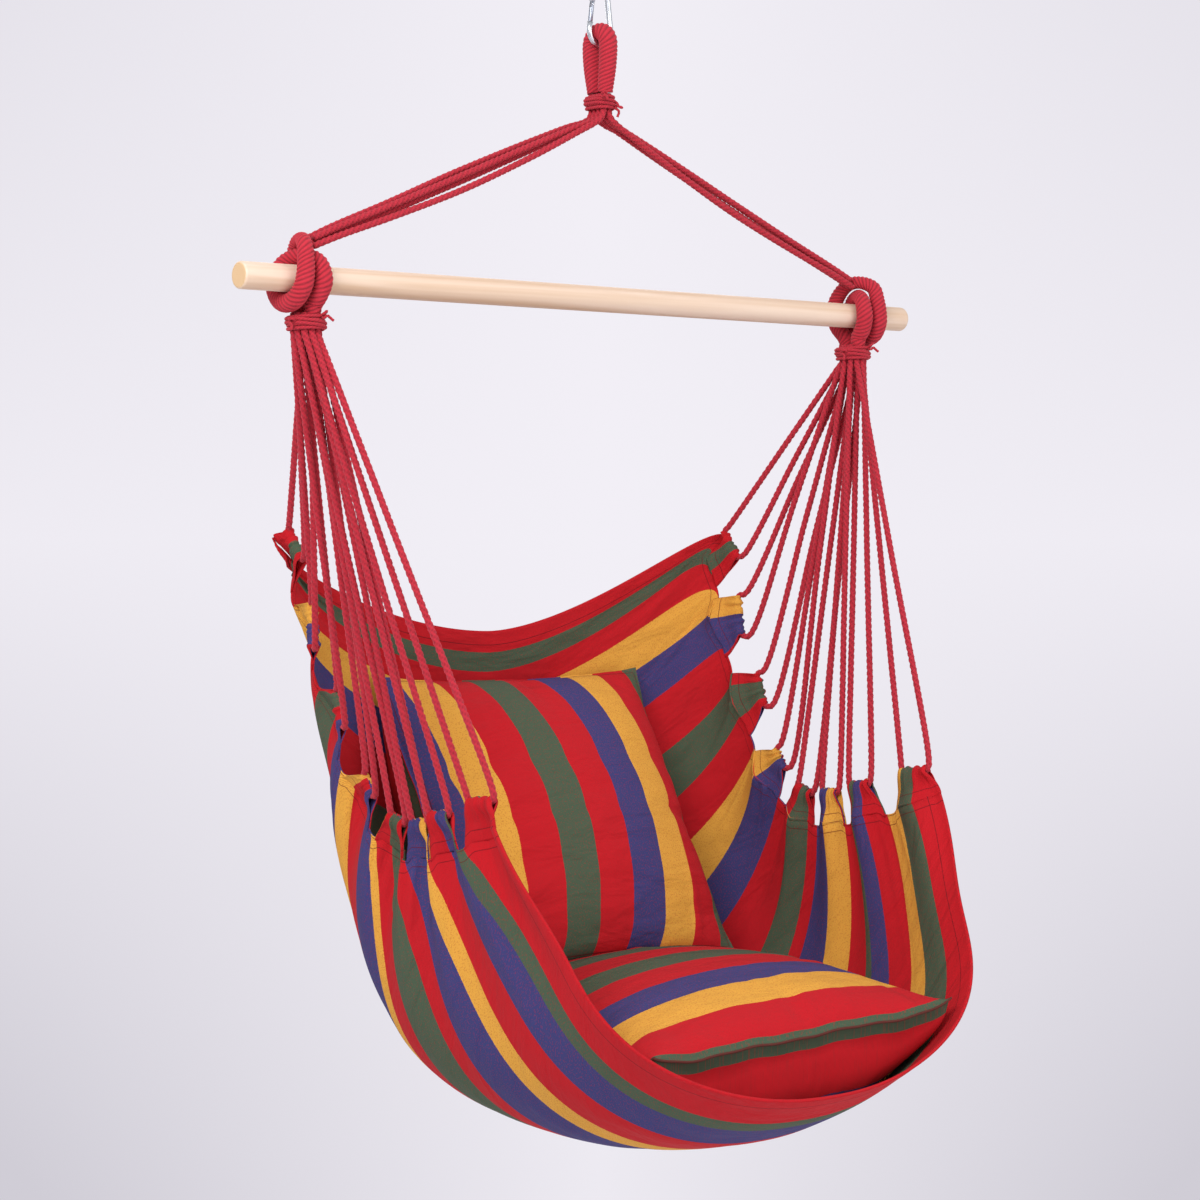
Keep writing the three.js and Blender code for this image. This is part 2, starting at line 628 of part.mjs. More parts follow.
// One tab: a folded sleeve round the cord's turn, closed to a flat of cloth that passes the seam.
function tabSolid(side, tab) {
  const { ahead, rise, sleeve, half } = tabFrame(tab);
  const reach = half - SLEEVE_INSET;
  const bore = (CORD / 2 + SEAT_GAP) / Math.cos(Math.PI / LOOP_SIDES);
  const wide = bore + SLEEVE_WALL / 2;
  const flat = TAB_THICKNESS / 2;
  const foot = TAB_HEIGHT + TAB_OVERLAP;
  const profile = new THREE.Shape([
    new THREE.Vector2(-wide, 0), new THREE.Vector2(-flat, -2 * wide), new THREE.Vector2(-flat, -foot),
    new THREE.Vector2(flat, -foot), new THREE.Vector2(flat, -2 * wide), new THREE.Vector2(wide, 0),
    new THREE.Vector2(wide / 2, wide), new THREE.Vector2(-wide / 2, wide),
  ]);
  const hole = roundSection(2 * bore, LOOP_SIDES).getPoints();
  profile.holes.push(new THREE.Path(hole));
  const body = new THREE.ExtrudeGeometry(profile, { depth: 2 * reach, bevelEnabled: false });
  const out = rise.clone().cross(ahead).normalize();
  const start = sleeve.clone().addScaledVector(ahead, -reach);
  body.applyMatrix4(new THREE.Matrix4().makeBasis(out, rise, ahead).setPosition(start));
  if (side < 0) {
    body.scale(-1, 1, 1);
  }
  return toManifold(body);
}

function sling() {
  let solid = toManifold(slingSheet());
  for (const side of [-1, 1]) {
    for (const tab of TABS) {
      solid = solid.add(tabSolid(side, tab));
    }
  }
  return fromManifold(solid);
}

// Cushions: a cover sewn from two squares round a filling, with a zip slot at its back
const COVER = 2.5;                 // cloth of a cover with its seams
const ZIP_LENGTH = 300;
const ZIP_SLOT = 1.2;
const SEAM_REACH = 14;             // how deep the slot runs in from the seam
const SETTLE = 30;                 // a cushion closer to the cloth than this lies on it
const BED_GAP = 0.85;              // room over the cloth at the cushion's points
const LID_GAP = 3;                 // room under the other cushion
const STUFFING_GAP = 1.5;          // room between a cover and its filling
const LOOK_FROM = 400;             // where a height is looked for from
const CUSHION_STEPS = 10;
const SIDE_DRAW_SHARE = 0.045;     // how far the sides pull in between the corners
const CROWN_SHARE = 0.42;          // how square the crown is
const SEAT_CUSHION = {
  name: "seat_cushion", halfWidth: 220, halfLength: 222, over: 57, under: 56,
  centre: [0, -131, -819], lean: 0,
};
const BACK_CUSHION = {
  name: "back_cushion", halfWidth: 200, halfLength: 186, over: 70, under: 82,
  centre: [0, 84, -606], lean: -61,
};

// Lengths run along the cushion, from its front or lower edge; lean is in degrees from level.
function cushionMatrix(cushion) {
  const turn = new THREE.Quaternion().setFromAxisAngle(V(1, 0, 0), THREE.MathUtils.degToRad(-cushion.lean));
  return new THREE.Matrix4().compose(V(...cushion.centre), turn, V(1, 1, 1));
}

// How far up the cushion's own frame a solid lies over or under a point of it.
function heightOf(target, matrix, x, y, fromAbove) {
  const start = V(x, y, fromAbove ? LOOK_FROM : -LOOK_FROM).applyMatrix4(matrix);
  const down = V(0, 0, fromAbove ? -1 : 1).transformDirection(matrix);
  const hits = new THREE.Raycaster(start, down).intersectObject(target);
  return hits.length ? (fromAbove ? LOOK_FROM - hits[0].distance : hits[0].distance - LOOK_FROM) : null;
}

// The cushion's closed outline, drawn in all round by an inset.
function cushionShell(cushion, inset, matrix, bed, lid) {
  const { halfWidth, halfLength, over, under } = cushion;
  const step = CUSHION_STEPS;
  const positions = [];
  const spread = (i) => Math.sin((Math.PI / 2) * ((2 * i) / step - 1));
  const place = (layer, i, j) => {
    const u = spread(i);
    const v = spread(j);
    const x = (halfWidth - inset) * u * (1 - SIDE_DRAW_SHARE * (1 - v * v));
    const y = (halfLength - inset) * v * (1 - SIDE_DRAW_SHARE * (1 - u * u));
    const crown = Math.pow(Math.max(0, (1 - u * u) * (1 - v * v)), CROWN_SHARE);
    const below = heightOf(bed, matrix, x, y, true);
    const lowest = below === null ? -Infinity : below + BED_GAP + inset;
    if (layer === 0) {
      const above = lid && crown > 0 ? heightOf(lid, matrix, x, y, false) : null;
      const limit = above === null ? Infinity : above - LID_GAP - inset;
      return [x, y, Math.max(Math.min((over - inset) * crown, limit), lowest)];
    }
    const bottom = -(under - inset) * crown;
    return [x, y, bottom - lowest < SETTLE ? lowest : bottom];
  };
  const number = new Map();
  const vertex = (layer, i, j) => {
    const rim = i === 0 || j === 0 || i === step || j === step;
    const key = `${rim ? 0 : layer},${i},${j}`;
    if (!number.has(key)) {
      number.set(key, positions.length / 3);
      positions.push(...place(rim ? 0 : layer, i, j));
    }
    return number.get(key);
  };
  const index = [];
  for (const layer of [0, 1]) {
    for (let i = 0; i < step; i += 1) {
      for (let j = 0; j < step; j += 1) {
        const a = vertex(layer, i, j);
        const b = vertex(layer, i + 1, j);
        const c = vertex(layer, i + 1, j + 1);
        const d = vertex(layer, i, j + 1);
        const falling = (i < step / 2) === (j < step / 2);
        const faces = falling ? [[a, b, c], [a, c, d]] : [[a, b, d], [b, c, d]];
        for (const [p, q, r] of faces) {
          index.push(...(layer === 0 ? [p, q, r] : [p, r, q]));
        }
      }
    }
  }
  const geometry = new THREE.BufferGeometry();
  geometry.setAttribute("position", new THREE.Float32BufferAttribute(positions, 3));
  geometry.setIndex(index);
  return geometry.applyMatrix4(matrix);
}

function cushionParts(cushion, bed, lid) {
  const matrix = cushionMatrix(cushion);
  const outer = toManifold(cushionShell(cushion, 0, matrix, bed, lid));
  const hollow = toManifold(cushionShell(cushion, COVER, matrix, bed, lid));
  const stuffing = toManifold(cushionShell(cushion, COVER + STUFFING_GAP, matrix, bed, lid));
  const lift = V(0, 0, 1).transformDirection(matrix).multiplyScalar(SEAT_GAP);
  const slotDepth = SEAM_REACH + OVERRUN;
  const slot = new THREE.BoxGeometry(ZIP_LENGTH, slotDepth, ZIP_SLOT)
    .translate(0, cushion.halfLength + OVERRUN - slotDepth / 2, 0).applyMatrix4(matrix);
  return {
    cover: fromManifold(outer.subtract(hollow).subtract(toManifold(slot))),
    filling: fromManifold(stuffing.intersect(hollow.translate(lift.toArray()))),
    outside: fromManifold(outer),
  };
}

// Assembly
const chair = new THREE.Group();
const hanging = new THREE.Group();
hanging.position.z = -BAR_DROP;
chair.add(hanging);

chair.add(meshNamed("snap_hook_body", snapHookBody(), steel));
chair.add(meshNamed("snap_hook_gate", snapHookGate(), steel));
chair.add(meshNamed("snap_hook_gate_pin", gatePinRod(), steel));
chair.add(meshNamed("snap_hook_gate_spring", gateSpring(), steel));
chair.add(meshNamed("top_eye", topEye(), rope));

const bridleTop = BRIDLE_ROUTES[0][0][2];
const bridleRow = BRIDLE_ROUTES[3][0][1];
hanging.add(meshNamed("top_whipping",
  whipping(V(0, 0, 0), slotReach + CORD / 2 + WINDING_CORD / 2, 2 * (bridleRow - slotReach),
    EYE_TURNS, bridleTop), rope));
hanging.add(meshNamed("spreader_bar", spreaderBar(), wood));

for (const [word, side] of [["left", -1], ["right", 1]]) {
  BRIDLE_ROUTES.forEach((_, row) => {
    hanging.add(meshNamed(`${word}_bridle_cord_${row + 1}`, bridleCord(side, row), rope));
  });
  hanging.add(meshNamed(`${word}_clew_eye`, clewEye(side), rope));
  hanging.add(meshNamed(`${word}_clew_whipping`,
    whipping(V(side * (KNOT_X + WHIPPING_OUTWARD), 0, 0), bundleRadius, 0, CLEW_TURNS, CLEW_TOP), rope));
  TABS.forEach((tab, place) => {
    hanging.add(meshNamed(`${word}_seat_cord_${place + 1}`, seatCord(side, tab), rope));
  });
}
hanging.add(meshNamed("sling", sling(), cloth));

const twoSided = new THREE.MeshBasicMaterial({ side: THREE.DoubleSide });
const bed = new THREE.Mesh(slingSheet(), twoSided);
const backCushion = cushionParts(BACK_CUSHION, bed, null);
const lid = new THREE.Mesh(backCushion.outside, twoSided);
const seatCushion = cushionParts(SEAT_CUSHION, bed, lid);
for (const [cushion, parts] of [[SEAT_CUSHION, seatCushion], [BACK_CUSHION, backCushion]]) {
  hanging.add(meshNamed(`${cushion.name}_cover`, parts.cover, cloth));
  hanging.add(meshNamed(`${cushion.name}_filling`, parts.filling, filling));
}

export default chair;
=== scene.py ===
import math

import bmesh
import bpy
import numpy as np
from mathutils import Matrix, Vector
from mathutils.bvhtree import BVHTree


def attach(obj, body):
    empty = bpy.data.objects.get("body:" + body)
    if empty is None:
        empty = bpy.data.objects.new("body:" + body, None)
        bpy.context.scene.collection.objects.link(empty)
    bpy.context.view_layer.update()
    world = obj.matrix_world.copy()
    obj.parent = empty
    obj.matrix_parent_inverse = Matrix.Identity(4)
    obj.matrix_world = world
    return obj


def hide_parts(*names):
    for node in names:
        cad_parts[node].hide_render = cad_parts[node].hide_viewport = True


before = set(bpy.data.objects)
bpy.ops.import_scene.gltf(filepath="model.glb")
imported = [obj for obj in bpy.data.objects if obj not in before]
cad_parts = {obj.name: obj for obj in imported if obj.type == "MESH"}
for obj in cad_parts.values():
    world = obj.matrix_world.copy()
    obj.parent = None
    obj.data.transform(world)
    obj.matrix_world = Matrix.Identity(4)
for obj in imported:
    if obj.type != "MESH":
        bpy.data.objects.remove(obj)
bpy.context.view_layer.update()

# A hammock chair. Lengths are in metres unless a name ends in _MM, and the frame is the part's:
# the origin is the hang point, +Z is up, +X runs along the bar and the front faces -Y.
MM = 0.001
rng = np.random.default_rng(7)

# Driving dimensions
BAR_DROP_MM = 370
BAR_LENGTH_MM = 1000
BAR_DIAMETER_MM = 30
BAR_EDGE_MM = 3
CORD_MM = 7
CORD_LOOK_MM = 8.2
CORD_SPACE_MM = 0.3
CORD_STRANDS = 3
CORD_LAY_MM = 24
CORD_RIDGE = 0.0019
CORD_SIDES = 15
WINDING_CORD_MM = 3.6
WINDING_SPACE_MM = 0.5
SEAT_GAP_MM = 0.4
KNOT_X_MM = 422
BRIDLE_KNOT_X_MM = 415
HOOK_WIRE_MM = 7
HOOK_LENGTH_MM = 84
EYE_STRAND_MM = 22
EYE_DROP_MM = 56
EYE_FOOT_SHARE = 0.82
EYE_LEG = [(1, 0), (0.86, 0.16), (0.7, 0.42), (0.45, 0.78), (0.2, 0.98)]
EYE_BEND_STEPS = 10

SIDES = (("left", -1), ("right", 1))

# Camera
CAMERA_TURN = math.radians(-40)
CAMERA_DISTANCE = 3.5
CAMERA_DROP = 0.651
LENS_MM = 90
SENSOR_MM = 36
SHIFT_Y = -0.05


def put_in_scene(name, data):
    made = bpy.data.objects.new(name, data)
    bpy.context.scene.collection.objects.link(made)
    return made


def make_camera():
    data = bpy.data.cameras.new("camera")
    data.lens = LENS_MM
    data.sensor_width = SENSOR_MM
    data.sensor_fit = "HORIZONTAL"
    data.shift_y = SHIFT_Y
    camera = put_in_scene("camera", data)
    camera.location = (math.sin(CAMERA_TURN) * CAMERA_DISTANCE,
                       -math.cos(CAMERA_TURN) * CAMERA_DISTANCE, -CAMERA_DROP)
    camera.rotation_euler = (math.pi / 2, 0, CAMERA_TURN)
    bpy.context.scene.camera = camera


make_camera()


# Mesh helpers
def place_mesh(name, mesh, body):
    made = put_in_scene(name, mesh)
    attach(made, body)
    return made


def new_object(name, vertices, faces, body):
    mesh = bpy.data.meshes.new(name)
    mesh.from_pydata([tuple(v) for v in vertices], [], [tuple(int(i) for i in f) for f in faces])
    mesh.validate()
    mesh.update()
    mesh.shade_smooth()
    return place_mesh(name, mesh, body)


def set_attribute(made, name, values):
    """Stores a number or a vector for each vertex."""
    values = np.asarray(values, dtype=np.float32)
    kind, field = ("FLOAT", "value") if values.ndim == 1 else ("FLOAT_VECTOR", "vector")
    made.data.attributes.new(name, kind, "POINT").data.foreach_set(field, values.ravel())


def unit(vector):
    return vector / np.linalg.norm(vector)


def centripetal(points, per_span):
    """Points on a centripetal Catmull-Rom curve through the given ones."""
    p = np.asarray(points, dtype=float)
    p = np.vstack([2 * p[0] - p[1], p, 2 * p[-1] - p[-2]])
    out = []
    for i in range(1, len(p) - 2):
        p0, p1, p2, p3 = p[i - 1], p[i], p[i + 1], p[i + 2]
        d0, d1, d2 = (max(np.linalg.norm(b - a) ** 0.5, 1e-9) for a, b in ((p0, p1), (p1, p2), (p2, p3)))
        m1 = (p1 - p0) / d0 - (p2 - p0) / (d0 + d1) + (p2 - p1) / d1
        m2 = (p2 - p1) / d1 - (p3 - p1) / (d1 + d2) + (p3 - p2) / d2
        m1, m2 = m1 * d1, m2 * d1
        for k in range(per_span):
            t = k / per_span
            out.append(
                (2 * t**3 - 3 * t**2 + 1) * p1 + (t**3 - 2 * t**2 + t) * m1
                + (3 * t**2 - 2 * t**3) * p2 + (t**3 - t**2) * m2
            )
    out.append(p[-2])
    return np.array(out)


def walked(points):
    return np.concatenate([[0], np.cumsum(np.linalg.norm(np.diff(points, axis=0), axis=1))])


def evenly(points, spacing, *values):
    """The points, and any values at them, at even steps along their line."""
    at = walked(points)
    count = max(2, int(round(at[-1] / spacing)))
    where = np.linspace(0, at[-1], count + 1)
    placed = np.stack([np.interp(where, at, points[:, k]) for k in range(3)], axis=1)
    return (placed, where, *[np.interp(where, at, v) for v in values])


def carried_frames(points):
    """Two directions across a line at each of its points, carried along it without a twist."""
    tangents = np.gradient(points, axis=0)
    tangents /= np.linalg.norm(tangents, axis=1)[:, None]
    first = np.cross(tangents[0], [0, 1, 0])
    if np.linalg.norm(first) < 0.1:
        first = np.cross(tangents[0], [1, 0, 0])
    normals = [unit(first)]
    for tangent in tangents[1:]:
        n = normals[-1] - tangent * np.dot(normals[-1], tangent)
        normals.append(unit(n))
    normals = np.array(normals)
    return normals, np.cross(tangents, normals)


def tube_faces(rings, sides):
    faces = []
    for start in range(0, (rings - 1) * sides, sides):
        for side in range(sides):
            a, b = start + side, start + (side + 1) % sides
            faces.append((a, b, b + sides, a + sides))
    faces.append(tuple(reversed(range(sides))))
    faces.append(tuple((rings - 1) * sides + side for side in range(sides)))
    return faces


def lobed_shell(points, radii, starts, lead, depth, sides, spacing):
    """A closed tube with a helix of ridges: a twisted cord, or a strand served with a thinner one."""
    points, at, radii = evenly(points, spacing, radii)
    normals, across = carried_frames(points)
    turn = np.linspace(0, 2 * math.pi, sides, endpoint=False)
    phase = starts * (turn[None, :] + 2 * math.pi * at[:, None] / lead)
    ridge = np.abs(np.cos(phase / 2))
    reach = radii[:, None] - depth * (1 - ridge)
    around = np.cos(turn)[None, :, None] * normals[:, None, :]
    around = around + np.sin(turn)[None, :, None] * across[:, None, :]
    vertices = (points[:, None, :] + around * reach[:, :, None]).reshape(-1, 3)
    return vertices, tube_faces(len(points), sides), (1 - ridge).ravel(), points


def rope_object(name, shells, near):
    """One object from several cord shells, with the depth of their grooves, in place of a CAD piece."""
    faces, start = [], 0
    for vertices, shell_faces, _, _ in shells:
        faces += [tuple(index + start for index in face) for face in shell_faces]
        start += len(vertices)
    made = new_object(name, np.vstack([shell[0] for shell in shells]), faces, "chair")
    set_attribute(made, "groove", np.concatenate([shell[2] for shell in shells]))
    made.data.materials.append(ROPE)
    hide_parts(near)
    return made


def linear(rgb):
    """An sRGB colour, 0 to 255, as linear values."""
    out = []
    for value in rgb:
        c = value / 255
        out.append(c / 12.92 if c <= 0.04045 else ((c + 0.055) / 1.055) ** 2.4)
    return (*out, 1)


# Materials
class Look:
    """A new material or world, and its nodes."""

    def __init__(self, name, kind=bpy.data.materials):
        self.owner = kind.new(name)
        self.owner.use_nodes = True
        self.tree = self.owner.node_tree

    def put(self, value, socket):
        """Links another node's output to an input, or sets the input to a plain value."""
        if isinstance(value, bpy.types.NodeSocket):
            self.tree.links.new(value, socket)
        else:
            socket.default_value = value

    def add(self, kind, **values):
        made = self.tree.nodes.new(kind)
        for key, value in values.items():
            if key in made.inputs:
                self.put(value, made.inputs[key])
            else:
                setattr(made, key, value)
        return made

    def math(self, operation, a, b=None, kind="ShaderNodeMath", output=0):
        made = self.add(kind, operation=operation)
        for value, socket in zip((a, b), made.inputs):
            if value is not None:
                self.put(value, socket)
        return made.outputs[output]

    def times(self, a, b):
        return self.math("MULTIPLY", a, b)

    def plus(self, a, b):
        return self.math("ADD", a, b)

    def stretched(self, vector, scale):
        return self.math("MULTIPLY", vector, scale, "ShaderNodeVectorMath")

    def mix(self, factor, a, b):
        made = self.add("ShaderNodeMix", data_type="RGBA")
        for place, value in ((0, factor), (6, a), (7, b)):
            self.put(value, made.inputs[place])
        return made.outputs[2]

    def noise(self, vector, **values):
        return self.add("ShaderNodeTexNoise", Vector=vector, **values).outputs["Fac"]

    def attribute(self, name, output="Fac"):
        return self.add("ShaderNodeAttribute", attribute_name=name).outputs[output]

    def place(self, output="Object"):
        return self.add("ShaderNodeTexCoord").outputs[output]

    def parts(self, vector):
        return self.add("ShaderNodeSeparateXYZ", Vector=vector).outputs

    def bump(self, height, strength, distance, **normal):
        made = self.add("ShaderNodeBump", Height=height, Strength=strength, Distance=distance, **normal)
        return made.outputs["Normal"]

    def surface(self, values):
        """Sets the inputs of the material's shader and gives the material back."""
        for key, value in values.items():
            self.put(value, self.tree.nodes["Principled BSDF"].inputs[key])
        return self.owner


ROPE_RED = linear((190, 30, 49))
# Painted shade for the cord's grooves, mixed in by their depth.
ROPE_GROOVE_PAINTED_SHADE = linear((84, 0, 14))


def rope_material():
    look = Look("rope_cotton")
    where = look.place()
    patches = look.noise(where, Scale=55.0, Detail=3.0)
    fibre = look.noise(where, Scale=900.0, Detail=3.0)
    # The grooves are painted darker by their depth: painted shade.
    base = look.mix(look.math("POWER", look.attribute("groove"), 1.05), ROPE_RED, ROPE_GROOVE_PAINTED_SHADE)
    base = look.mix(look.times(patches, 0.25), base, linear((214, 62, 78)))
    base = look.mix(look.times(fibre, 0.3), base, linear((168, 20, 40)))
    return look.surface({
        "Base Color": base, "Roughness": 0.92, "Sheen Weight": 0.35, "Sheen Roughness": 0.5,
        "Sheen Tint": linear((235, 120, 130)), "Normal": look.bump(fibre, 0.5, 0.0006),
    })


ROPE = rope_material()


def from_bar(points_mm):
    """Points in mm from the middle of the bar's axis, in metres from the hang point."""
    return np.subtract(points_mm, [0, 0, BAR_DROP_MM]) * MM


# Cords
BRIDLE_ROUTES = [
    [[3.65, -10.95, 239], [3.65, -10.95, 222], [6, -10.9, 212], [14, -10.8, 205], [40, -10.4, 191],
     [108, -9.6, 156], [205, -8.4, 111], [300, -7.2, 74], [370, -6.4, 48.5], [402, -6, 35.5]],
    [[3.65, -3.65, 239], [3.65, -3.65, 222], [6, -3.65, 212], [14, -3.6, 205.8], [40, -3.5, 196],
     [108, -3.4, 168], [205, -3.1, 126.5], [300, -2.8, 86.5], [370, -3, 58], [399.6, -3.4, 44.8]],
    [[3.65, 3.65, 239], [3.65, 3.65, 222], [6, 3.65, 212], [14, 3.6, 205.4], [40, 3.5, 193],
     [108, 3.2, 162], [205, 2.8, 119.5], [300, 2.4, 79.5], [370, 2.1, 51.2], [402.8, 2.2, 37.2]],
    [[3.65, 10.95, 239], [3.65, 10.95, 222], [6, 10.9, 212], [14, 10.8, 206.4], [40, 10.4, 198],
     [108, 9.6, 171.5], [205, 8.3, 131.5], [300, 7, 89.5], [370, 5.9, 60], [399, 5.4, 46.2]],
]
INNER_SLOTS = 5
OUTER_SLOTS = 11
SLOT_REACH_MM = (CORD_MM + CORD_SPACE_MM) / 2
INNER_RING_SHARE = 1.72
OUTER_RING_SHARE = 3.75
BUNDLE_RADIUS_MM = SLOT_REACH_MM * OUTER_RING_SHARE + CORD_MM / 2
# Middle of each cord's turn, its sleeve's direction to the front, the turn's width and its slots.
TABS = [
    ([326, -193, -548], [0, -0.994, 0.108], 46, (12, 13)),
    ([318, -109, -569], [0, -0.991, 0.13], 38, (14, 4)),
    ([311, -66, -581], [0, -0.997, 0.08], 30, (11, 3)),
    ([310, -25, -581], [0, -0.957, -0.29], 30, (15, 0)),
    ([315, 20, -549], [0, -0.6, -0.8], 32, (10, 2)),
    ([324, 63, -467], [0, -0.33, -0.94], 46, (5, 1)),
    ([330, 108, -376], [0, -0.12, -0.99], 54, (9, 6)),
    ([336, 133, -283], [0, -0.65, -0.76], 46, (7, 8)),
]
TURN_RISE_MM = 12
SLEEVE_DROP_MM = 9
SLEEVE_INSET_MM = 8
TAB_HEIGHT_MM = 34
TURN_BEND = [(1.2, 4.5), (4, 1.2)]
LEG_BEND_SHARE = 0.04
LEG_STRAIGHT_MM = 57
CLEW_TOP_MM = -36.6
WHIPPING_OUTWARD_MM = -8
CORD_STEP = 0.0026


def slot_place(number):
    inner = number < INNER_SLOTS
    count = INNER_SLOTS if inner else OUTER_SLOTS
    place = number + 0.25 if inner else number - INNER_SLOTS + 0.5
    reach = SLOT_REACH_MM * (INNER_RING_SHARE if inner else OUTER_RING_SHARE)
    turn = 2 * math.pi * place / count
    return reach * math.cos(turn), reach * math.sin(turn)


def tab_frame(tab):
    """The right side's tab: its directions ahead and up, and its sleeve's middle, in mm."""
    middle, ahead = np.array(tab[0]), unit(np.array(tab[1]))
    clew = np.array([KNOT_X_MM + WHIPPING_OUTWARD_MM, 0, -LEG_STRAIGHT_MM])
    rise = unit(clew - middle)
    rise = unit(rise - ahead * np.dot(rise, ahead))
    return ahead, rise, middle - SLEEVE_DROP_MM * rise


def seat_cord_points(tab):
    ahead, rise, sleeve = tab_frame(tab)
    half = tab[2] / 2

    def along(reach, up):
        return sleeve + ahead * reach + rise * up

    def leg(number, end):
        x, y = slot_place(number)
        head = np.array([KNOT_X_MM + WHIPPING_OUTWARD_MM + x, y, CLEW_TOP_MM])
        bend = np.array([head[0], head[1], -LEG_STRAIGHT_MM])
        return [head, bend, bend + (end - bend) * LEG_BEND_SHARE, bend + (end - bend) / 2]

    def corner(way):
        return [along(way * (half - inward), up) for inward, up in TURN_BEND]

    front, back = along(half, TURN_RISE_MM), along(-half, TURN_RISE_MM)
    return [
        *leg(tab[3][0], front), front, *corner(1), along(half - SLEEVE_INSET_MM, 0),
        along(SLEEVE_INSET_MM - half, 0), *reversed(corner(-1)), back, *reversed(leg(tab[3][1], back)),
    ]


def cord_piece(name, route_mm, side, near):
    """A twisted cord along a route in mm from the bar's axis, on one side of the chair."""
    line = centripetal(from_bar([(side * x, y, z) for x, y, z in route_mm]), per_span=12)
    radii = np.full(len(line), CORD_LOOK_MM * MM / 2)
    shell = lobed_shell(line, radii, CORD_STRANDS, CORD_LAY_MM * MM, CORD_RIDGE, CORD_SIDES, CORD_STEP)
    made = rope_object(name, [shell], near)


BRIDLE_REACH = KNOT_X_MM / BRIDLE_KNOT_X_MM
for word, side in SIDES:
    for i, route in enumerate(BRIDLE_ROUTES, 1):
        spread = [[out * BRIDLE_REACH, back, up] for out, back, up in route]
        cord_piece(f"{word}_bridle_rope_{i}", spread, side, f"{word}_bridle_cord_{i}")
    for i, tab in enumerate(TABS, 1):
        cord_piece(f"{word}_seat_rope_{i}", seat_cord_points(tab), side, f"{word}_seat_cord_{i}")

# Served eyes and whippings. An eye's route has three places and a radius at each point, in mm.
CLEW_EYE_ROUTE = [
    [-8.6, -9.4, -40, 8.4], [-9.5, -11.2, -33.2, 9.5], [-10, -12.6, -27, 9.8],
    [-11, -20.2, -18, 10.3], [-13, -26.4, -2, 10.5],
    [-11, -20.8, 16.2, 9.8], [-5, -9, 24, 8.7], [2, 4, 24.4, 8.2], [8, 16.8, 18.8, 9],
    [12.5, 25.8, 4, 10.3], [14.5, 24.8, -10, 10.5], [15.5, 14, -23, 10.5], [16, 0, -26.8, 10.5],
    [15, -14.7, -22.6, 10.5], [12.5, -25.2, -9.6, 10.5], [11, -27.4, 3, 10.2], [9.6, -26.2, 17.4, 9.7],
    [7.8, -21, 34.6, 8.9], [0, -4, 42.4, 8], [-5, 12, 39.5, 8.5], [-9.5, 25, 25, 9.3],
    [-11, 30, 8, 10], [-9.5, 26.5, -11, 10], [-8.5, 13.6, -26, 9.6], [-7.5, 11.2, -33.2, 9.5],
    [-7.6, 9.4, -40, 8.4],
]
SERVING_STARTS = 6
SERVING_SIDES = 36
SERVING_STEP = 0.0009
SERVING_PITCH = 0.0047
SERVING_DEPTH = 0.0012


def eye_piece(name, points, radii, near):
    line = centripetal(points, per_span=8)
    at = np.linspace(0, len(points) - 1, len(line))
    radii = np.interp(at, np.arange(len(points)), radii)
    shell = lobed_shell(line, radii, SERVING_STARTS, -SERVING_STARTS * SERVING_PITCH, SERVING_DEPTH,
                        SERVING_SIDES, SERVING_STEP)
    rope_object(name, [shell], near)


for word, side in SIDES:
    middle = from_bar([(side * (KNOT_X_MM + out), back, up) for out, back, up, _ in CLEW_EYE_ROUTE])
    eye_piece(f"{word}_knot", middle, [row[3] * MM for row in CLEW_EYE_ROUTE], f"{word}_clew_eye")


def top_eye():
    wire = HOOK_WIRE_MM / 2
    basket = 3 * wire - HOOK_LENGTH_MM
    strand = EYE_STRAND_MM / 2
    reach = wire + SEAT_GAP_MM + strand
    foot = strand * EYE_FOOT_SHARE + SEAT_GAP_MM
    leg = [(foot + (reach - foot) * out, basket - EYE_DROP_MM * down) for down, out in EYE_LEG]
    drawn = [strand * (1 - (1 - EYE_FOOT_SHARE) * down * down) for down, _ in EYE_LEG]
    bend = [math.pi * i / EYE_BEND_STEPS for i in range(EYE_BEND_STEPS + 1)]
    points = [(0, y, z) for y, z in leg]
    points += [(0, reach * math.cos(t), basket + reach * math.sin(t)) for t in bend]
    points += [(0, -y, z) for y, z in reversed(leg)]
    radii = [*drawn, *[strand] * len(bend), *reversed(drawn)]
    eye_piece("hanging_eye", np.array(points) * MM, np.array(radii) * MM, "top_eye")


top_eye()
THIN_LAY = 0.012
THIN_RIDGE = 0.0006
THIN_SIDES = 12
THIN_STEP = 0.0012
TAIL_CORD_MM = 3.3
WINDING_LOOK_MM = WINDING_CORD_MM + 0.5
WINDING_TURNS = 4
WINDING_STEPS = 48
WINDING_PHASE = 0.9
LAYER_PHASE = 2.2
LAYER_RISE_SHARE = 0.5
# A knot in a cord's end: along the cord, aside and up, in mm.
TAIL_KNOT = [
    (-3, 0, 0), (1, 0, 1), (5, 2.5, 2.4), (7.4, 0, 4.2), (5, -2.8, 2.2), (2, -0.6, -1.4), (4.4, 2.7, -2.6),
    (7.6, 1.2, -0.8), (9.6, -1.4, -3), (13, -1, -7),
]


def thin_cord(line, width_mm):
    radii = np.full(len(line), width_mm * MM / 2)
    return lobed_shell(line, radii, CORD_STRANDS, THIN_LAY, THIN_RIDGE, THIN_SIDES, THIN_STEP)


def knotted_tail(place, way):
    """A thin cord's end tied in an overhand knot. place and way are in mm from the bar's axis."""
    way = unit(np.array(way))
    side = unit(np.cross(way, [0, 0, 1]))
    lift = np.cross(side, way)
    points = from_bar([place + way * a + side * b + lift * c for a, b, c in TAIL_KNOT])
    return thin_cord(centripetal(points, per_span=10), TAIL_CORD_MM)


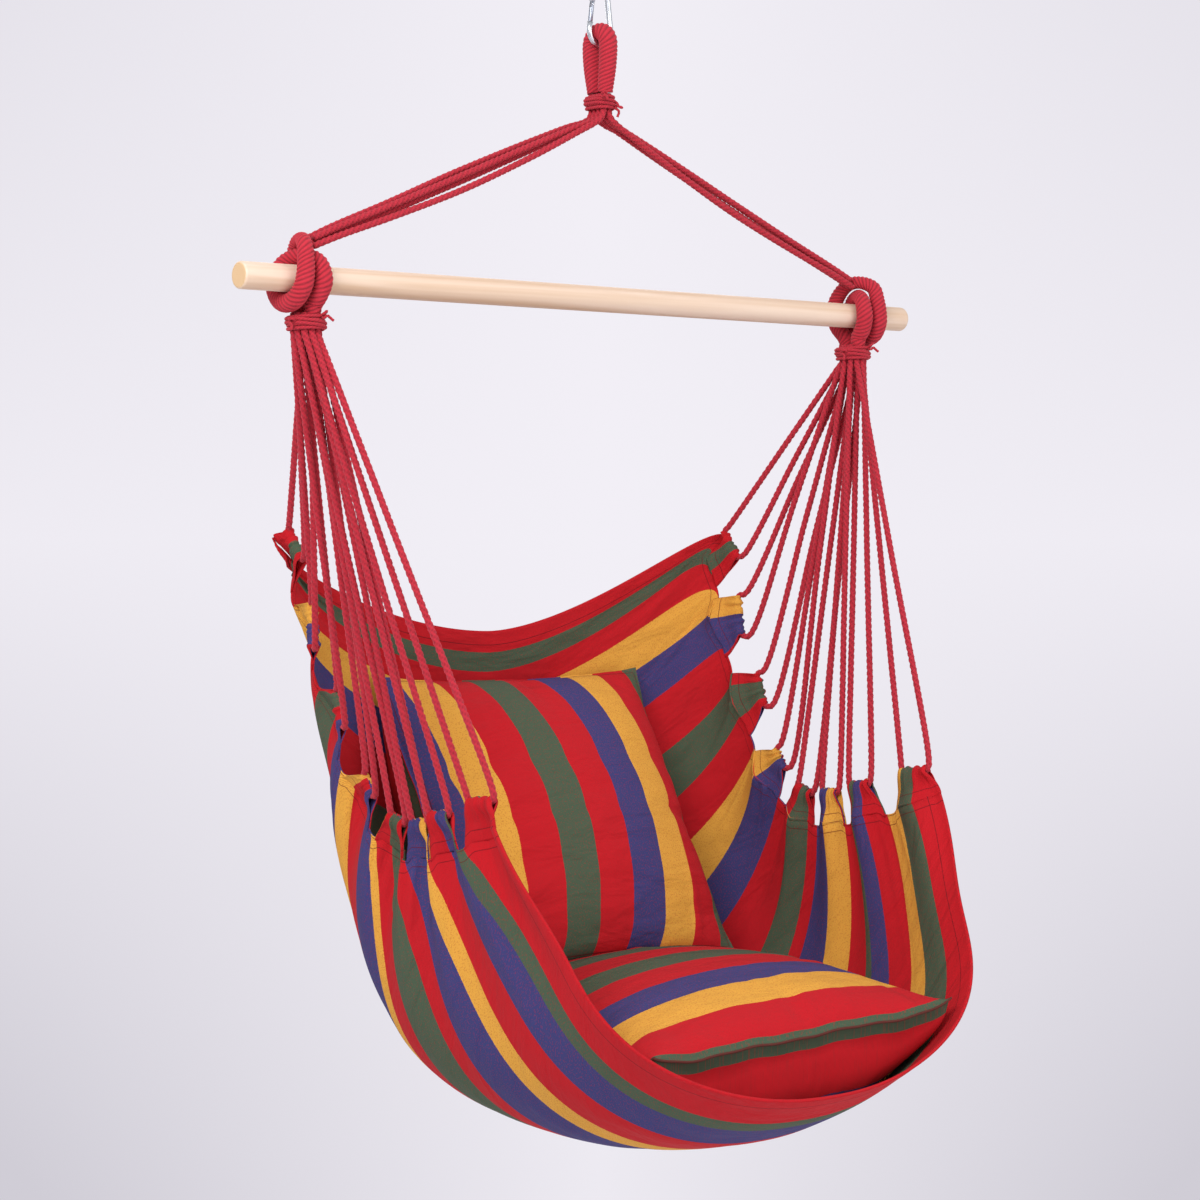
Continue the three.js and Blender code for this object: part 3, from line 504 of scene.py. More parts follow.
def whipping_piece(name, centre_mm, inner_mm, straight_mm, top_mm, slant_mm, tails, near):
    """A cord wound round a bundle, crossing over itself, with its ends tied in small knots."""
    radius = inner_mm + SEAT_GAP_MM + WINDING_CORD_MM / 2
    pitch = WINDING_CORD_MM + WINDING_SPACE_MM
    shells = []
    for layer, rounds in ((0, WINDING_TURNS), (1, WINDING_TURNS - 2)):
        points = []
        for i in range(rounds * WINDING_STEPS + 1):
            turn = 2 * math.pi * i / WINDING_STEPS
            sine = math.sin(turn)
            shift = 0 if abs(sine) < 1e-9 else math.copysign(straight_mm / 2, sine)
            tilt = slant_mm * math.cos(turn + WINDING_PHASE + LAYER_PHASE * layer)
            reach = radius + layer * WINDING_CORD_MM * LAYER_RISE_SHARE
            drop = WINDING_CORD_MM / 2 + pitch * (i / WINDING_STEPS + layer) - tilt
            points.append((centre_mm + reach * math.cos(turn), reach * sine + shift, top_mm - drop))
        shells.append(thin_cord(from_bar(points), WINDING_LOOK_MM))
    shells += [knotted_tail(place, way) for place, way in tails]
    rope_object(name, shells, near)


HANGING_TOP_MM = 239
HANGING_SLANT_MM = 0.8
CLEW_SLANT_MM = 1.6
OUTER_BRIDLE_MM = 3 * SLOT_REACH_MM
HANGING_TAILS = [((-11, -19, 233), (-0.4, -0.9, 0.2)), ((9, -20, 226), (0.1, -0.5, -1))]
whipping_piece("hanging_whipping", 0, SLOT_REACH_MM + CORD_MM / 2 + WINDING_CORD_MM / 2,
               2 * (OUTER_BRIDLE_MM - SLOT_REACH_MM), HANGING_TOP_MM, HANGING_SLANT_MM, HANGING_TAILS,
               "top_whipping")
for word, side in SIDES:
    middle_x = side * (KNOT_X_MM + WHIPPING_OUTWARD_MM)
    near_edge = BUNDLE_RADIUS_MM + WINDING_CORD_MM
    clew_tails = [((middle_x + 5, -near_edge, CLEW_TOP_MM - 4), (0.7, -0.7, 0.15)),
                  ((middle_x - near_edge + 2, -5, CLEW_TOP_MM - 9), (-0.8, -0.5, -0.3))]
    whipping_piece(f"{word}_whipping", middle_x, BUNDLE_RADIUS_MM, 0, CLEW_TOP_MM, CLEW_SLANT_MM,
                   clew_tails, f"{word}_clew_whipping")

# Cloth materials
STRIPE_COLOURS = {"R": (201, 15, 29), "G": (72, 94, 72), "Y": (236, 170, 66), "B": (58, 62, 120)}
TWILL_PERIOD = 0.0017
# Painted shade for the weave's valleys.
TWILL_VALLEY_PAINTED_SHADE = (0.02, 0.01, 0.012, 1)
# Painted shade in soft patches, standing for the cloth's folds.
FOLD_PAINTED_SHADE = (0.10, 0.03, 0.03, 1)
FLECK_COLOUR = linear((170, 30, 34))
STITCH_COLOUR = linear((96, 14, 22))


def stripe_ramp(look, place, stops):
    """Stripes along a place from 0 to 1. stops is a list of (where it starts, colour letter)."""
    made = look.add("ShaderNodeValToRGB", Fac=place)
    made.color_ramp.interpolation = "CONSTANT"
    elements = made.color_ramp.elements
    while len(elements) > 1:
        elements.remove(elements[-1])
    elements[0].position = stops[0][0]
    elements[0].color = linear(STRIPE_COLOURS[stops[0][1]])
    for position, letter in stops[1:]:
        elements.new(position).color = linear(STRIPE_COLOURS[letter])
    return made.outputs["Color"]


def cloth_material(name, stops, seams):
    """A striped twill, with painted shade in the weave's valleys and in soft patches that stand for folds.
    It reads the stripe's place, the cloth's own coordinates and its seam distances.
    """
    look = Look(name)
    cloth = look.attribute("cloth", "Vector")
    rough = look.noise(cloth, Scale=900.0, Detail=1.0)
    wobble = look.times(look.math("SUBTRACT", rough, 0.5), 0.0022)
    base = stripe_ramp(look, look.plus(look.attribute("stripe"), wobble), stops)

    x, y, _ = look.parts(cloth)
    wave = look.math("SINE", look.times(look.plus(x, y), 2 * math.pi / TWILL_PERIOD))
    twill = look.times(look.plus(wave, 1.0), 0.5)
    slub = look.noise(look.stretched(cloth, (0.35, 2.2, 1)), Scale=240.0, Detail=4.0, Roughness=0.7)
    fleck = look.noise(cloth, Scale=520.0, Detail=2.0)
    patches = look.noise(cloth, Scale=14.0, Detail=3.0)

    base = look.mix(look.times(look.math("GREATER_THAN", fleck, 0.585), 0.32), base, FLECK_COLOUR)
    # The twill's low lines are painted darker: painted shade.
    base = look.mix(look.times(look.math("SUBTRACT", 1.0, twill), 0.3), base, TWILL_VALLEY_PAINTED_SHADE)
    # Soft noise patches are painted darker: painted shade for folds.
    base = look.mix(look.times(patches, 0.12), base, FOLD_PAINTED_SHADE)
    for kind, at, width in seams:
        off = look.math("ABSOLUTE", look.math("SUBTRACT", look.attribute(kind), at))
        stitched = look.math("LESS_THAN", off, width / 2)
        base = look.mix(look.times(stitched, 0.75), base, STITCH_COLOUR)
    creases = look.noise(look.stretched(cloth, (0.45, 1.3, 1)), Scale=19.0, Detail=3.0, Distortion=0.4)
    soft = look.bump(creases, 0.9, 0.011)
    height = look.plus(look.times(twill, 0.5), look.times(slub, 0.5))
    return look.surface({
        "Base Color": base, "Roughness": 0.95, "Specular IOR Level": 0.25,
        "Normal": look.bump(height, 0.45, 0.0006, Normal=soft),
    })


def tab_stops(rows):
    return [(row[k + 1] / len(TABS), row[k]) for row in rows for k in range(0, len(row), 2)]


# Sling
CLOTH_MM = 2
PLEAT_OUT_MM = 11
PLEAT_DIP_MM = 8
SIDE_ROUND_SHARE = 0.89
SIDE_BULGE_SHARE = 0.18
FRONT_BULGE_SHARE = 0.02
FRONT_SHARE = 0.62
CORNER_RISE_MM = 14
CORNER_SHARE = 0.06
BACK_SHARE = 0.55
BACK_OUT_POWER = 0.25
BACK_UP_POWER = 0.9
# Where the front hem leaves its round course: how far in mm, how far across the sling, and how widely.
HEM_CORNER = (9, 0.44, 0.2)
HEM_TAUT = (17, 0.8, 0.15)
HEM_ASIDE = (14, 0, 0.55)
CREST_SHARE = 0.6
HEM_LIFT_MM = 30
HEM_LIFT_SHARE = 0.16
HEM_LIFT_GAIN = 27 / 4
EDGE_FRONT = [326, -226, -590]
EDGE_BACK = [338, 160, -292]
MIDDLE_LINE = [
    [208, -392], [214, -480], [214, -600], [198, -725], [150, -848], [45, -936], [-100, -962],
    [-230, -950], [-330, -915], [-400, -872],
]
SLING_ALONG = 288
SLING_OVER = 128
GATHERS = 70
SLACK_FOLDS = 26
# The stripes from the back hem to the front one, as each face shows them: a letter, and the number
# of tabs from the back hem to the stripe's start.
OUTSIDE = [
    ("R", 0, "G", 0.38, "R", 0.70, "Y", 1.04, "B", 1.46, "R", 1.86, "G", 2.20, "R", 2.55),
    ("B", 2.85, "Y", 3.20, "R", 3.50, "B", 4.00, "Y", 4.45, "R", 4.62, "G", 4.93, "R", 5.40),
    ("B", 5.66, "Y", 6.22, "R", 6.48, "B", 6.90, "G", 7.27, "R", 7.44),
]
INSIDE = [
    ("R", 0, "G", 0.38, "R", 0.70, "Y", 1.04, "B", 1.46, "R", 1.86, "G", 2.30, "R", 2.70),
    ("Y", 3.08, "B", 3.50, "R", 3.90, "G", 4.42, "R", 4.80, "B", 4.97, "Y", 5.44, "R", 5.86),
    ("G", 6.22, "B", 6.36, "R", 6.62, "Y", 6.92, "G", 7.16, "R", 7.56),
]


def smooth_step(low, high, value):
    x = np.clip((value - low) / (high - low), 0, 1)
    return x * x * (3 - 2 * x)


def swell(off, width):
    """1 where off is 0, fading to both sides."""
    return np.exp(-((off / width) ** 2))


def hem_swell(t, high, middle, width):
    return high * swell(t - middle, width)


def sling_grid(shares, across):
    """Points halfway through the sling's cloth, in mm from the middle of the bar's axis."""
    middle, at = evenly(centripetal([[0, y, z] for y, z in MIDDLE_LINE], per_span=24), spacing=4)
    middle_at = np.stack([np.interp(shares * at[-1], at, middle[:, k]) for k in (1, 2)], axis=1)
    knots, places = [EDGE_BACK], [0]
    for i, tab in enumerate(reversed(TABS)):
        _, rise, sleeve = tab_frame(tab)
        knots.append(sleeve - rise * TAB_HEIGHT_MM)
        places.append((i + 0.5) / len(TABS))
    knots.append(EDGE_FRONT)
    places.append(1)
    edge = np.stack([np.interp(shares, places, np.array(knots)[:, k]) for k in range(3)], axis=1)
    t = np.abs(across)[None, :]
    s = shares[:, None]
    turn = t * math.pi / 2
    flat = np.maximum(0, 1 - s / BACK_SHARE)
    ahead = np.maximum(0, (s - FRONT_SHARE) / (1 - FRONT_SHARE))
    fullness = SIDE_BULGE_SHARE + (FRONT_BULGE_SHARE - SIDE_BULGE_SHARE) * ahead
    bulge = 1 + fullness * np.cos(turn) * (1 - flat)
    out = np.sin(turn) ** (SIDE_ROUND_SHARE + BACK_OUT_POWER * flat) * bulge
    up = 1 - np.maximum(np.cos(turn), 0) ** (SIDE_ROUND_SHARE + BACK_UP_POWER * flat)
    x = edge[:, 0][:, None] * out
    y = middle_at[:, 0][:, None] + (edge[:, 1] - middle_at[:, 0])[:, None] * up
    z = middle_at[:, 1][:, None] + (edge[:, 2] - middle_at[:, 1])[:, None] * up
    x = x + ahead**2 * (hem_swell(t, *HEM_CORNER) - hem_swell(t, *HEM_TAUT))
    beat = np.cos(2 * math.pi * len(TABS) * s)
    x = x + PLEAT_OUT_MM * t**3 * ((1 - CREST_SHARE) / 2 + beat * (1 + CREST_SHARE) / 2)
    corner = np.maximum(0, 1 - np.minimum(s, 1 - s) / CORNER_SHARE)
    z = z + (CORNER_RISE_MM * corner - PLEAT_DIP_MM * smooth_step(0.3, 1, beat) * (1 - corner)) * t**8
    lifted = np.clip(across, 0, 1)[None, :]
    z = z + HEM_LIFT_MM * swell(s, HEM_LIFT_SHARE) * HEM_LIFT_GAIN * lifted**2 * (1 - lifted)
    x = x * np.sign(across)[None, :] - ahead**2 * hem_swell(t, *HEM_ASIDE)
    return np.stack([x, y, z], axis=2)


shares = np.linspace(0, 1, SLING_ALONG + 1)
across = np.linspace(-1, 1, SLING_OVER + 1)
sling_middle = from_bar(sling_grid(shares, across))
sling_normals = np.cross(*np.gradient(sling_middle, axis=(0, 1)))
sling_normals /= np.linalg.norm(sling_normals, axis=2)[:, :, None]
inward = np.array([0, -0.1, -0.9]) - sling_middle
facing_out = np.sum(sling_normals * inward, axis=2).mean() < 0
OUT = sling_normals if facing_out else -sling_normals


def turned(faces, flip):
    return [tuple(reversed(face)) for face in faces] if flip else faces


def quads(columns, rows, start=0, flip=False):
    corners = [start + i * rows + j for i in range(columns - 1) for j in range(rows - 1)]
    return turned([(a, a + rows, a + rows + 1, a + 1) for a in corners], flip)


def rim_pairs(columns, rows):
    """Each point on a grid's rim with the next one round it, by their numbers in the grid."""
    grid = np.arange(columns * rows).reshape(columns, rows)
    rim = [*grid[:-1, 0], *grid[-1, :-1], *grid[:0:-1, -1], *grid[0, :0:-1]]
    return list(zip(rim, rim[1:] + rim[:1]))


def run_lengths(grid, axis):
    """How far each point lies along the cloth from the grid's first row of points."""
    steps = np.linalg.norm(np.diff(grid, axis=axis), axis=2)
    return np.insert(np.cumsum(steps, axis=axis), 0, 0, axis=axis)


def flat_cloth(x, y):
    return np.stack([x, y, np.zeros_like(x)], axis=-1)


# How far each point lies along the cloth from a side edge and from a hem, and its place on the cloth.
over, along = run_lengths(sling_middle, 1), run_lengths(sling_middle, 0)
side_distance = np.minimum(over, over[:, -1:] - over)
hem_distance = np.minimum(along, along[-1:, :] - along)
sling_cloth = flat_cloth(over - over[:, -1:] / 2, along)


# The least and most of each random draw for a fold, in the order of the draws.
GATHER_RANGES = [(0.05, 0.20), (0.0035, 0.009), (-0.0036, 0.0036), (-0.12, 0.12)]
SLACK_RANGES = [(0.05, 0.95), (-0.7, 0.7), (0.008, 0.02), (0.15, 0.4), (-0.08, 0.08), (-0.0018, 0.0018)]
WRINKLE_RANGES = [(-0.92, 0.92), (0.03, 0.10), (0.006, 0.016), (-0.35, 0.35), (-0.0032, 0.0022)]


def draws(source, ranges):
    return [source.uniform(low, high) for low, high in ranges]


def add_gathers():
    """Small folds that run down from the tabs, and slack ones across the seat."""
    local = np.random.default_rng(11)
    total = np.zeros(sling_middle.shape[:2])
    for _ in range(GATHERS):
        share, side = local.uniform(0.02, 0.98), local.choice([-1, 1])
        reach, width, high, drift = draws(local, GATHER_RANGES)
        near_side = np.sign(across)[None, :] == side
        off = shares[:, None] - share - drift * side_distance
        total += near_side * high * swell(off, width) * swell(side_distance, reach)
    for _ in range(SLACK_FOLDS):
        share, middle, width, long, slant, high = draws(local, SLACK_RANGES)
        off = shares[:, None] - share - slant * (across[None, :] - middle)
        total += high * swell(off, width) * swell(across[None, :] - middle, long)
    fade = smooth_step(0.0, 0.006, side_distance)
    return sling_middle + OUT * (total * fade)[:, :, None]


sling_middle = add_gathers()


class Parts:
    """Collects closed shells into one mesh, with their stripes, cloth places and seam distances."""

    def __init__(self):
        self.vertices, self.cloth, self.faces, self.kinds = [], [], [], []
        self.values = {"stripe": [], "side": [], "hem": []}

    def add(self, vertices, cloth, **values):
        start = sum(map(len, self.vertices))
        self.vertices.append(vertices.reshape(-1, 3))
        self.cloth.append(cloth.reshape(-1, 3))
        for key, value in values.items():
            self.values[key].append(np.broadcast_to(value, vertices.shape[:-1]).ravel())
        return start

    def add_faces(self, faces, kind):
        self.faces += faces
        self.kinds += [kind] * len(faces)

    def build(self, name, materials, body):
        made = new_object(name, np.vstack(self.vertices), self.faces, body)
        for look in materials:
            made.data.materials.append(look)
        made.data.polygons.foreach_set("material_index", np.array(self.kinds, dtype=np.int32))
        for key, value in self.values.items():
            set_attribute(made, key, np.concatenate(value))
        set_attribute(made, "cloth", np.vstack(self.cloth))
        return made


HEM_FULLNESS_BACK = 1.3
HEM_FULLNESS_FRONT = 0.4
HEM_FADE = 1.2
OUTER_SHIFTS = [0, 0.1, 0.25, 0.7, 0.6, 0.45, 0.35]


def outer_shift(where):
    """How far the outer face's stripes run on at the tabs, as a share of the whole edge."""
    return np.interp(where * len(TABS), np.arange(1.5, len(TABS)), OUTER_SHIFTS) / len(TABS)


def stripe_places(where, across, shift):
    """The stripes' own share at each point: the cloth is fuller at both hems' middles than at the tabs."""
    u = where[:, None] * len(TABS)
    ahead = len(TABS) - u
    t = np.abs(across)[None, :]
    fuller = HEM_FULLNESS_BACK * u * np.exp(-u / HEM_FADE)
    fuller = fuller - HEM_FULLNESS_FRONT * ahead * np.exp(-ahead / HEM_FADE)
    return (u + (1 - t**2) * fuller) / len(TABS) + shift * t**6


HEM_THICKENING = 0.0006
HEM_END = (0.018, 0.024)


def make_sling():
    parts = Parts()
    columns, rows = sling_middle.shape[:2]
    thick = CLOTH_MM * MM / 2 + HEM_THICKENING * (1 - smooth_step(*HEM_END, hem_distance))
    outer, inner = (
        parts.add(sling_middle + way * OUT * thick[:, :, None], sling_cloth, side=side_distance,
                  hem=hem_distance, stripe=stripe_places(shares, across, shift))
        for way, shift in ((1, outer_shift(shares)[:, None]), (-1, 0))
    )
    parts.add_faces(quads(columns, rows, outer, not facing_out), 0)
    parts.add_faces(quads(columns, rows, inner, facing_out), 1)
    rim = [(outer + a, inner + a, inner + b, outer + b) for a, b in rim_pairs(columns, rows)]
    parts.add_faces(turned(rim, not facing_out), 0)
    for side in (-1, 1):
        for number, tab in enumerate(TABS):
            add_tab(parts, side, number, tab)
    made = parts.build("striped_sling", [SLING_OUT, SLING_IN], "chair")
    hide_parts("sling")


TAB_WALL = 0.0008
TAB_STEPS = 26
TAB_FOOT_SHARE = 0.05
TAB_SINK = 0.004
TAB_ROWS = 19
TAB_BELOW_SHARE = 0.95
TAB_NARROWING_POWER = 1.25
TAB_CLOTH_HALF = 0.04
TAB_HALF_GAP = 0.0011
TAB_GATHER = 0.0011
# The gathers' waves across a tab: the fewest and most half turns, and the share of the height.
TAB_WAVES = [(2.0, 4.5, 0.9), (5, 8, 0.8), (9, 12, 0.4)]
SLEEVE_END_MM = 1.5
SLEEVE_RADIUS = 0.0056
SLEEVE_STEPS = 11
SLEEVE_FLARE = (-0.021, -0.001)
TAB_SEAM_OFFSET = 1.0


def add_tab(parts, side, number, tab):
    """A strip of folded cloth round a cord's turn, as wide as the edge below and gathered on the cord."""
    ahead, rise, sleeve = tab_frame(tab)
    out = unit(np.cross(ahead, rise))
    out = -out if out[0] < 0 else out
    reach = (tab[2] / 2 - SLEEVE_END_MM) * MM
    where = np.linspace(-1, 1, TAB_STEPS + 1)
    half_tab = 0.5 / len(TABS)
    ahead_share = half_tab if number == 0 else TAB_FOOT_SHARE
    back_share = half_tab if number == len(TABS) - 1 else TAB_FOOT_SHARE
    foot_shares = 1 - (number + 0.5) / len(TABS) + where * np.where(where > 0, ahead_share, back_share)
    seam, below = (from_bar(sling_grid(foot_shares, np.array([at]))[:, 0]) for at in (1.0, TAB_BELOW_SHARE))
    start = seam + TAB_SINK * (below - seam) / np.linalg.norm(below - seam, axis=1)[:, None]
    top = from_bar(sleeve)
    middle = start[len(where) // 2]
    foot = float(np.linalg.norm(top - middle))

    drops = np.linspace(-foot, 0, TAB_ROWS)
    half = TAB_HALF_GAP + (SLEEVE_RADIUS - TAB_HALF_GAP) * smooth_step(*SLEEVE_FLARE, drops)
    bend = np.linspace(0, math.pi, SLEEVE_STEPS)[1:-1]
    outline = np.array([*zip(half, drops), *zip(SLEEVE_RADIUS * np.cos(bend), SLEEVE_RADIUS * np.sin(bend)),
                        *zip(-half[::-1], drops[::-1])])
    tangent = np.gradient(outline, axis=0)
    away = np.stack([tangent[:, 1], -tangent[:, 0]], axis=1)
    away /= np.linalg.norm(away, axis=1)[:, None]
    waves = [(rng.uniform(low, high), rng.uniform(0, 6.28), share) for low, high, share in TAB_WAVES]
    gathers = TAB_GATHER * sum(a * np.sin(k * math.pi * where + p) for k, p, a in waves)
    rise_share = np.clip(1 + outline[:, 1] / foot, 0, 1)
    gather = gathers[:, None] * (0.05 + 0.95 * smooth_step(0.15, 0.85, rise_share))[None, :]
    narrowing = (rise_share**TAB_NARROWING_POWER)[None, :, None]
    level = middle + (top - middle) * rise_share[:, None]
    wide = (start - middle)[:, None, :] * (1 - narrowing)
    wide = wide + (where[:, None] * reach)[:, :, None] * ahead * narrowing
    stripe = np.repeat(foot_shares[:, None], len(outline), axis=1)
    stripe[:, :len(outline) // 2 + 1] += outer_shift(foot_shares)[:, None]
    cloth = flat_cloth(*np.broadcast_arrays(-outline[None, :, 1], where[:, None] * TAB_CLOTH_HALF))
    layers = []
    for wall in (TAB_WALL, -TAB_WALL):
        offset = outline[None, :, :] + away[None, :, :] * (gather + wall)[:, :, None]
        lift = np.maximum(outline[:, 1], 0)[None, :] + (offset[:, :, 1] - outline[None, :, 1])
        points = level[None, :, :] + wide + offset[:, :, 0][:, :, None] * out + lift[:, :, None] * rise
        points[:, :, 0] *= side
        height = TAB_SEAM_OFFSET + rise_share * foot
        layers.append(parts.add(points, cloth, stripe=stripe, side=height, hem=0.5))
    columns, rows = len(where), len(outline)
    first, second = layers
    for layer, flip in ((first, side > 0), (second, side < 0)):
        faces = quads(columns, rows, layer, flip)
        parts.faces += faces
        parts.kinds += [0 if k % (rows - 1) < rows // 2 else 1 for k in range(len(faces))]
    rim = [(first + a, first + b, second + b, second + a) for a, b in rim_pairs(columns, rows)]
    parts.add_faces(turned(rim, side < 0), 0)


SEAM_ROWS = [("side", 0.0020, 0.0010), ("side", 0.0135, 0.0010), ("side", TAB_SEAM_OFFSET + 0.013, 0.0010),
             ("hem", 0.0170, 0.0010)]
SLING_OUT = cloth_material("sling_outside", tab_stops(OUTSIDE), SEAM_ROWS)
SLING_IN = cloth_material("sling_inside", tab_stops(INSIDE), SEAM_ROWS)
make_sling()

# Cushions
SETTLE = 0.085
BED_GAP = 0.0012
LID_GAP = 0.002
SIDE_DRAW_SHARE = 0.045
FLANGE_SHARE = 0.985
FLANGE_HALF = 0.0014
CUSHION_STEPS = 88
WRINKLES_PER_EDGE = 9
WRINKLE_GAIN = 1.7
LOOK_FROM = 0.4
SEAT_CUSHION = {"half_width": 0.222, "half_length": 0.222, "over": 0.066, "under": 0.068,
                "centre": (-0.002, -0.131, -1.188), "lean": 0, "stripes_run": "across",
                "crown": 0.44, "belly": 0.22, "roll": 0.04, "ears": 0.011}
BACK_CUSHION = {"half_width": 0.200, "half_length": 0.192, "over": 0.070, "under": 0.082,
                "centre": (0, 0.081, -0.981), "lean": 61, "stripes_run": "up",
                "crown": 0.56, "belly": 0.42, "roll": 0, "ears": 0.004}
SLING_TREE = BVHTree.FromPolygons(
    [Vector(p) for p in (sling_middle - OUT * CLOTH_MM * MM / 2).reshape(-1, 3)],
    quads(*sling_middle.shape[:2]))


def cushion_axes(cushion):
    """The cushion's own directions, one in each column."""
    lean = math.radians(cushion["lean"])
    cosine, sine = math.cos(lean), math.sin(lean)
    return np.array([[1, 0, 0], [0, cosine, -sine], [0, sine, cosine]])


def height_of(tree, cushion, axes, x, y, from_above):
    """Where a ray across the cushion at x and y first meets a surface, in the cushion's own height."""
    way = 1 if from_above else -1
    start = axes @ [x, y, way * LOOK_FROM] + cushion["centre"]
    hit = tree.ray_cast(Vector(start), Vector(axes @ [0, 0, -way]))
    return None if hit[0] is None else way * (LOOK_FROM - hit[3])


def seam_wrinkles(u, v, cushion, seed):
    """Folds that run in from the seams and fade towards the crown."""
    local = np.random.default_rng(seed)
    total = np.zeros_like(u)
    wide, long = cushion["half_width"], cushion["half_length"]
    edges = [(1 - u, v, wide, long), (1 + u, v, wide, long), (1 - v, u, long, wide), (1 + v, u, long, wide)]
    for gap, along, deep, broad in edges:
        for _ in range(WRINKLES_PER_EDGE):
            at, reach, width, slant, high = draws(local, WRINKLE_RANGES)
            inward = gap * deep
            off = (along - at) * broad - slant * inward
            total += high * swell(off, width) * swell(inward - 0.25 * reach, reach)
    return WRINKLE_GAIN * total


def make_cushion(name, cushion, materials, lid, seed):
    axes = cushion_axes(cushion)
    spread = np.sin(math.pi / 2 * np.linspace(-1, 1, CUSHION_STEPS + 1))
    u, v = np.meshgrid(spread, spread, indexing="ij")
    half_width, half_length = cushion["half_width"], cushion["half_length"]
    x = half_width * u * (1 - SIDE_DRAW_SHARE * (1 - v * v))
    y = half_length * v * (1 - SIDE_DRAW_SHARE * (1 - u * u))
    inner_u, inner_v = (np.clip(w / FLANGE_SHARE, -1, 1) for w in (u, v))
    dome = (1 - inner_u**2) * (1 - inner_v**2)
    crown, belly = dome ** cushion["crown"], dome ** cushion["belly"]
    wave = cushion["roll"] * x + cushion["ears"] * (u * v) ** 8
    wave += (0.0011 * np.sin(9 * u + seed) + 0.0007 * np.sin(23 * u + 3 * seed)) * np.abs(v) ** 6
    wave += (0.0015 * np.sin(8 * v + 2 * seed) + 0.0007 * np.sin(21 * v + seed)) * np.abs(u) ** 6
    bulk = smooth_step(0.02, 0.35, crown)
    top = cushion["over"] * crown + FLANGE_HALF + wave + seam_wrinkles(u, v, cushion, seed) * bulk
    bottom = wave - cushion["under"] * belly - FLANGE_HALF
    bottom += seam_wrinkles(u, v, cushion, seed + 50) * bulk
    for at in np.ndindex(u.shape):
        below = height_of(SLING_TREE, cushion, axes, x[at], y[at], True)
        if below is not None:
            lowest = below + BED_GAP
            room = bottom[at] - lowest
            reach = 1 if room < 0 else min(1, 1.3 * belly[at])
            bottom[at] -= room * reach * (1 - smooth_step(0.5 * SETTLE, SETTLE, room))
            top[at] = max(top[at], lowest + 2 * FLANGE_HALF)
        above = None if lid is None else height_of(lid, cushion, axes, x[at], y[at], False)
        if above is not None:
            top[at] = max(min(top[at], above - LID_GAP), bottom[at] + FLANGE_HALF)
    seam = np.minimum((1 - np.abs(u)) * half_width, (1 - np.abs(v)) * half_length)
    parts = Parts()
    layers, starts = [], []
    for z in (top, bottom):
        if cushion["stripes_run"] == "across":
            stripe = run_lengths(np.stack([y, z], axis=2), 1)
        else:
            run = run_lengths(np.stack([x, z], axis=2), 0)
            stripe = run[-1:, :] - run
        layers.append(np.stack([x, y, z], axis=2) @ axes.T + cushion["centre"])
        stripe = stripe / CUSHION_CLOTH
        starts.append(parts.add(layers[-1], flat_cloth(x, y), stripe=stripe, side=seam, hem=seam))
    count = CUSHION_STEPS + 1
    first, second = starts
    parts.add_faces(quads(count, count, first), 0)
    parts.add_faces(quads(count, count, second, True), 1)
    parts.add_faces([(first + a, second + a, second + b, first + b) for a, b in rim_pairs(count, count)], 0)
    made = parts.build(name, materials, name)
    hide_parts(f"{name}_cover", f"{name}_filling")
    corners = [Vector(p) for p in np.array(layers).reshape(-1, 3)]
    return BVHTree.FromPolygons(corners, quads(count, count) + quads(count, count, count * count, True))


CUSHION_CLOTH = 0.6


def stripes_from(letters, first, width):
    """Stops on the cushion's cloth: a first stripe and then stripes of one width."""
    stops, at = [(0.0, letters[0])], first
    for letter in letters[1:]:
        stops.append((at / CUSHION_CLOTH, letter))
        at += width
    return stops


CUSHION_SEAM = [("side", 0.0065, 0.0009)]
SEAT_SEAM = [("side", 0.0004, 0.0012)]
SEAT_LOOKS = [
    cloth_material("seat_cushion_top", stripes_from("GRYBRGRGRYBR", 0.009, 0.046), SEAT_SEAM),
    cloth_material("seat_cushion_under", stripes_from("GRBYRGRGRYBR", 0.012, 0.06), SEAT_SEAM),
]
BACK_STRIPES = stripes_from("GRYBRGRYBRGR", 0.019, 0.051)
BACK_LOOKS = [
    cloth_material(f"back_cushion_{face}", BACK_STRIPES, CUSHION_SEAM)
    for face in ("front", "rear")
]
back_tree = make_cushion("back_cushion", BACK_CUSHION, BACK_LOOKS, None, 3)
make_cushion("seat_cushion", SEAT_CUSHION, SEAT_LOOKS, back_tree, 5)


# Bar and hook
BAR_STEPS = 60
BAR_EDGE_STEPS = 7
BAR_SIDES = 64
YEAR_RING = 0.0024
PINE_STOPS = [(0.34, (207, 174, 144)), (0.62, (230, 206, 187))]
END_GRAIN_DEPTH = 0.0004
PITH_BACK = 0.004
PITH_DROP = 0.006


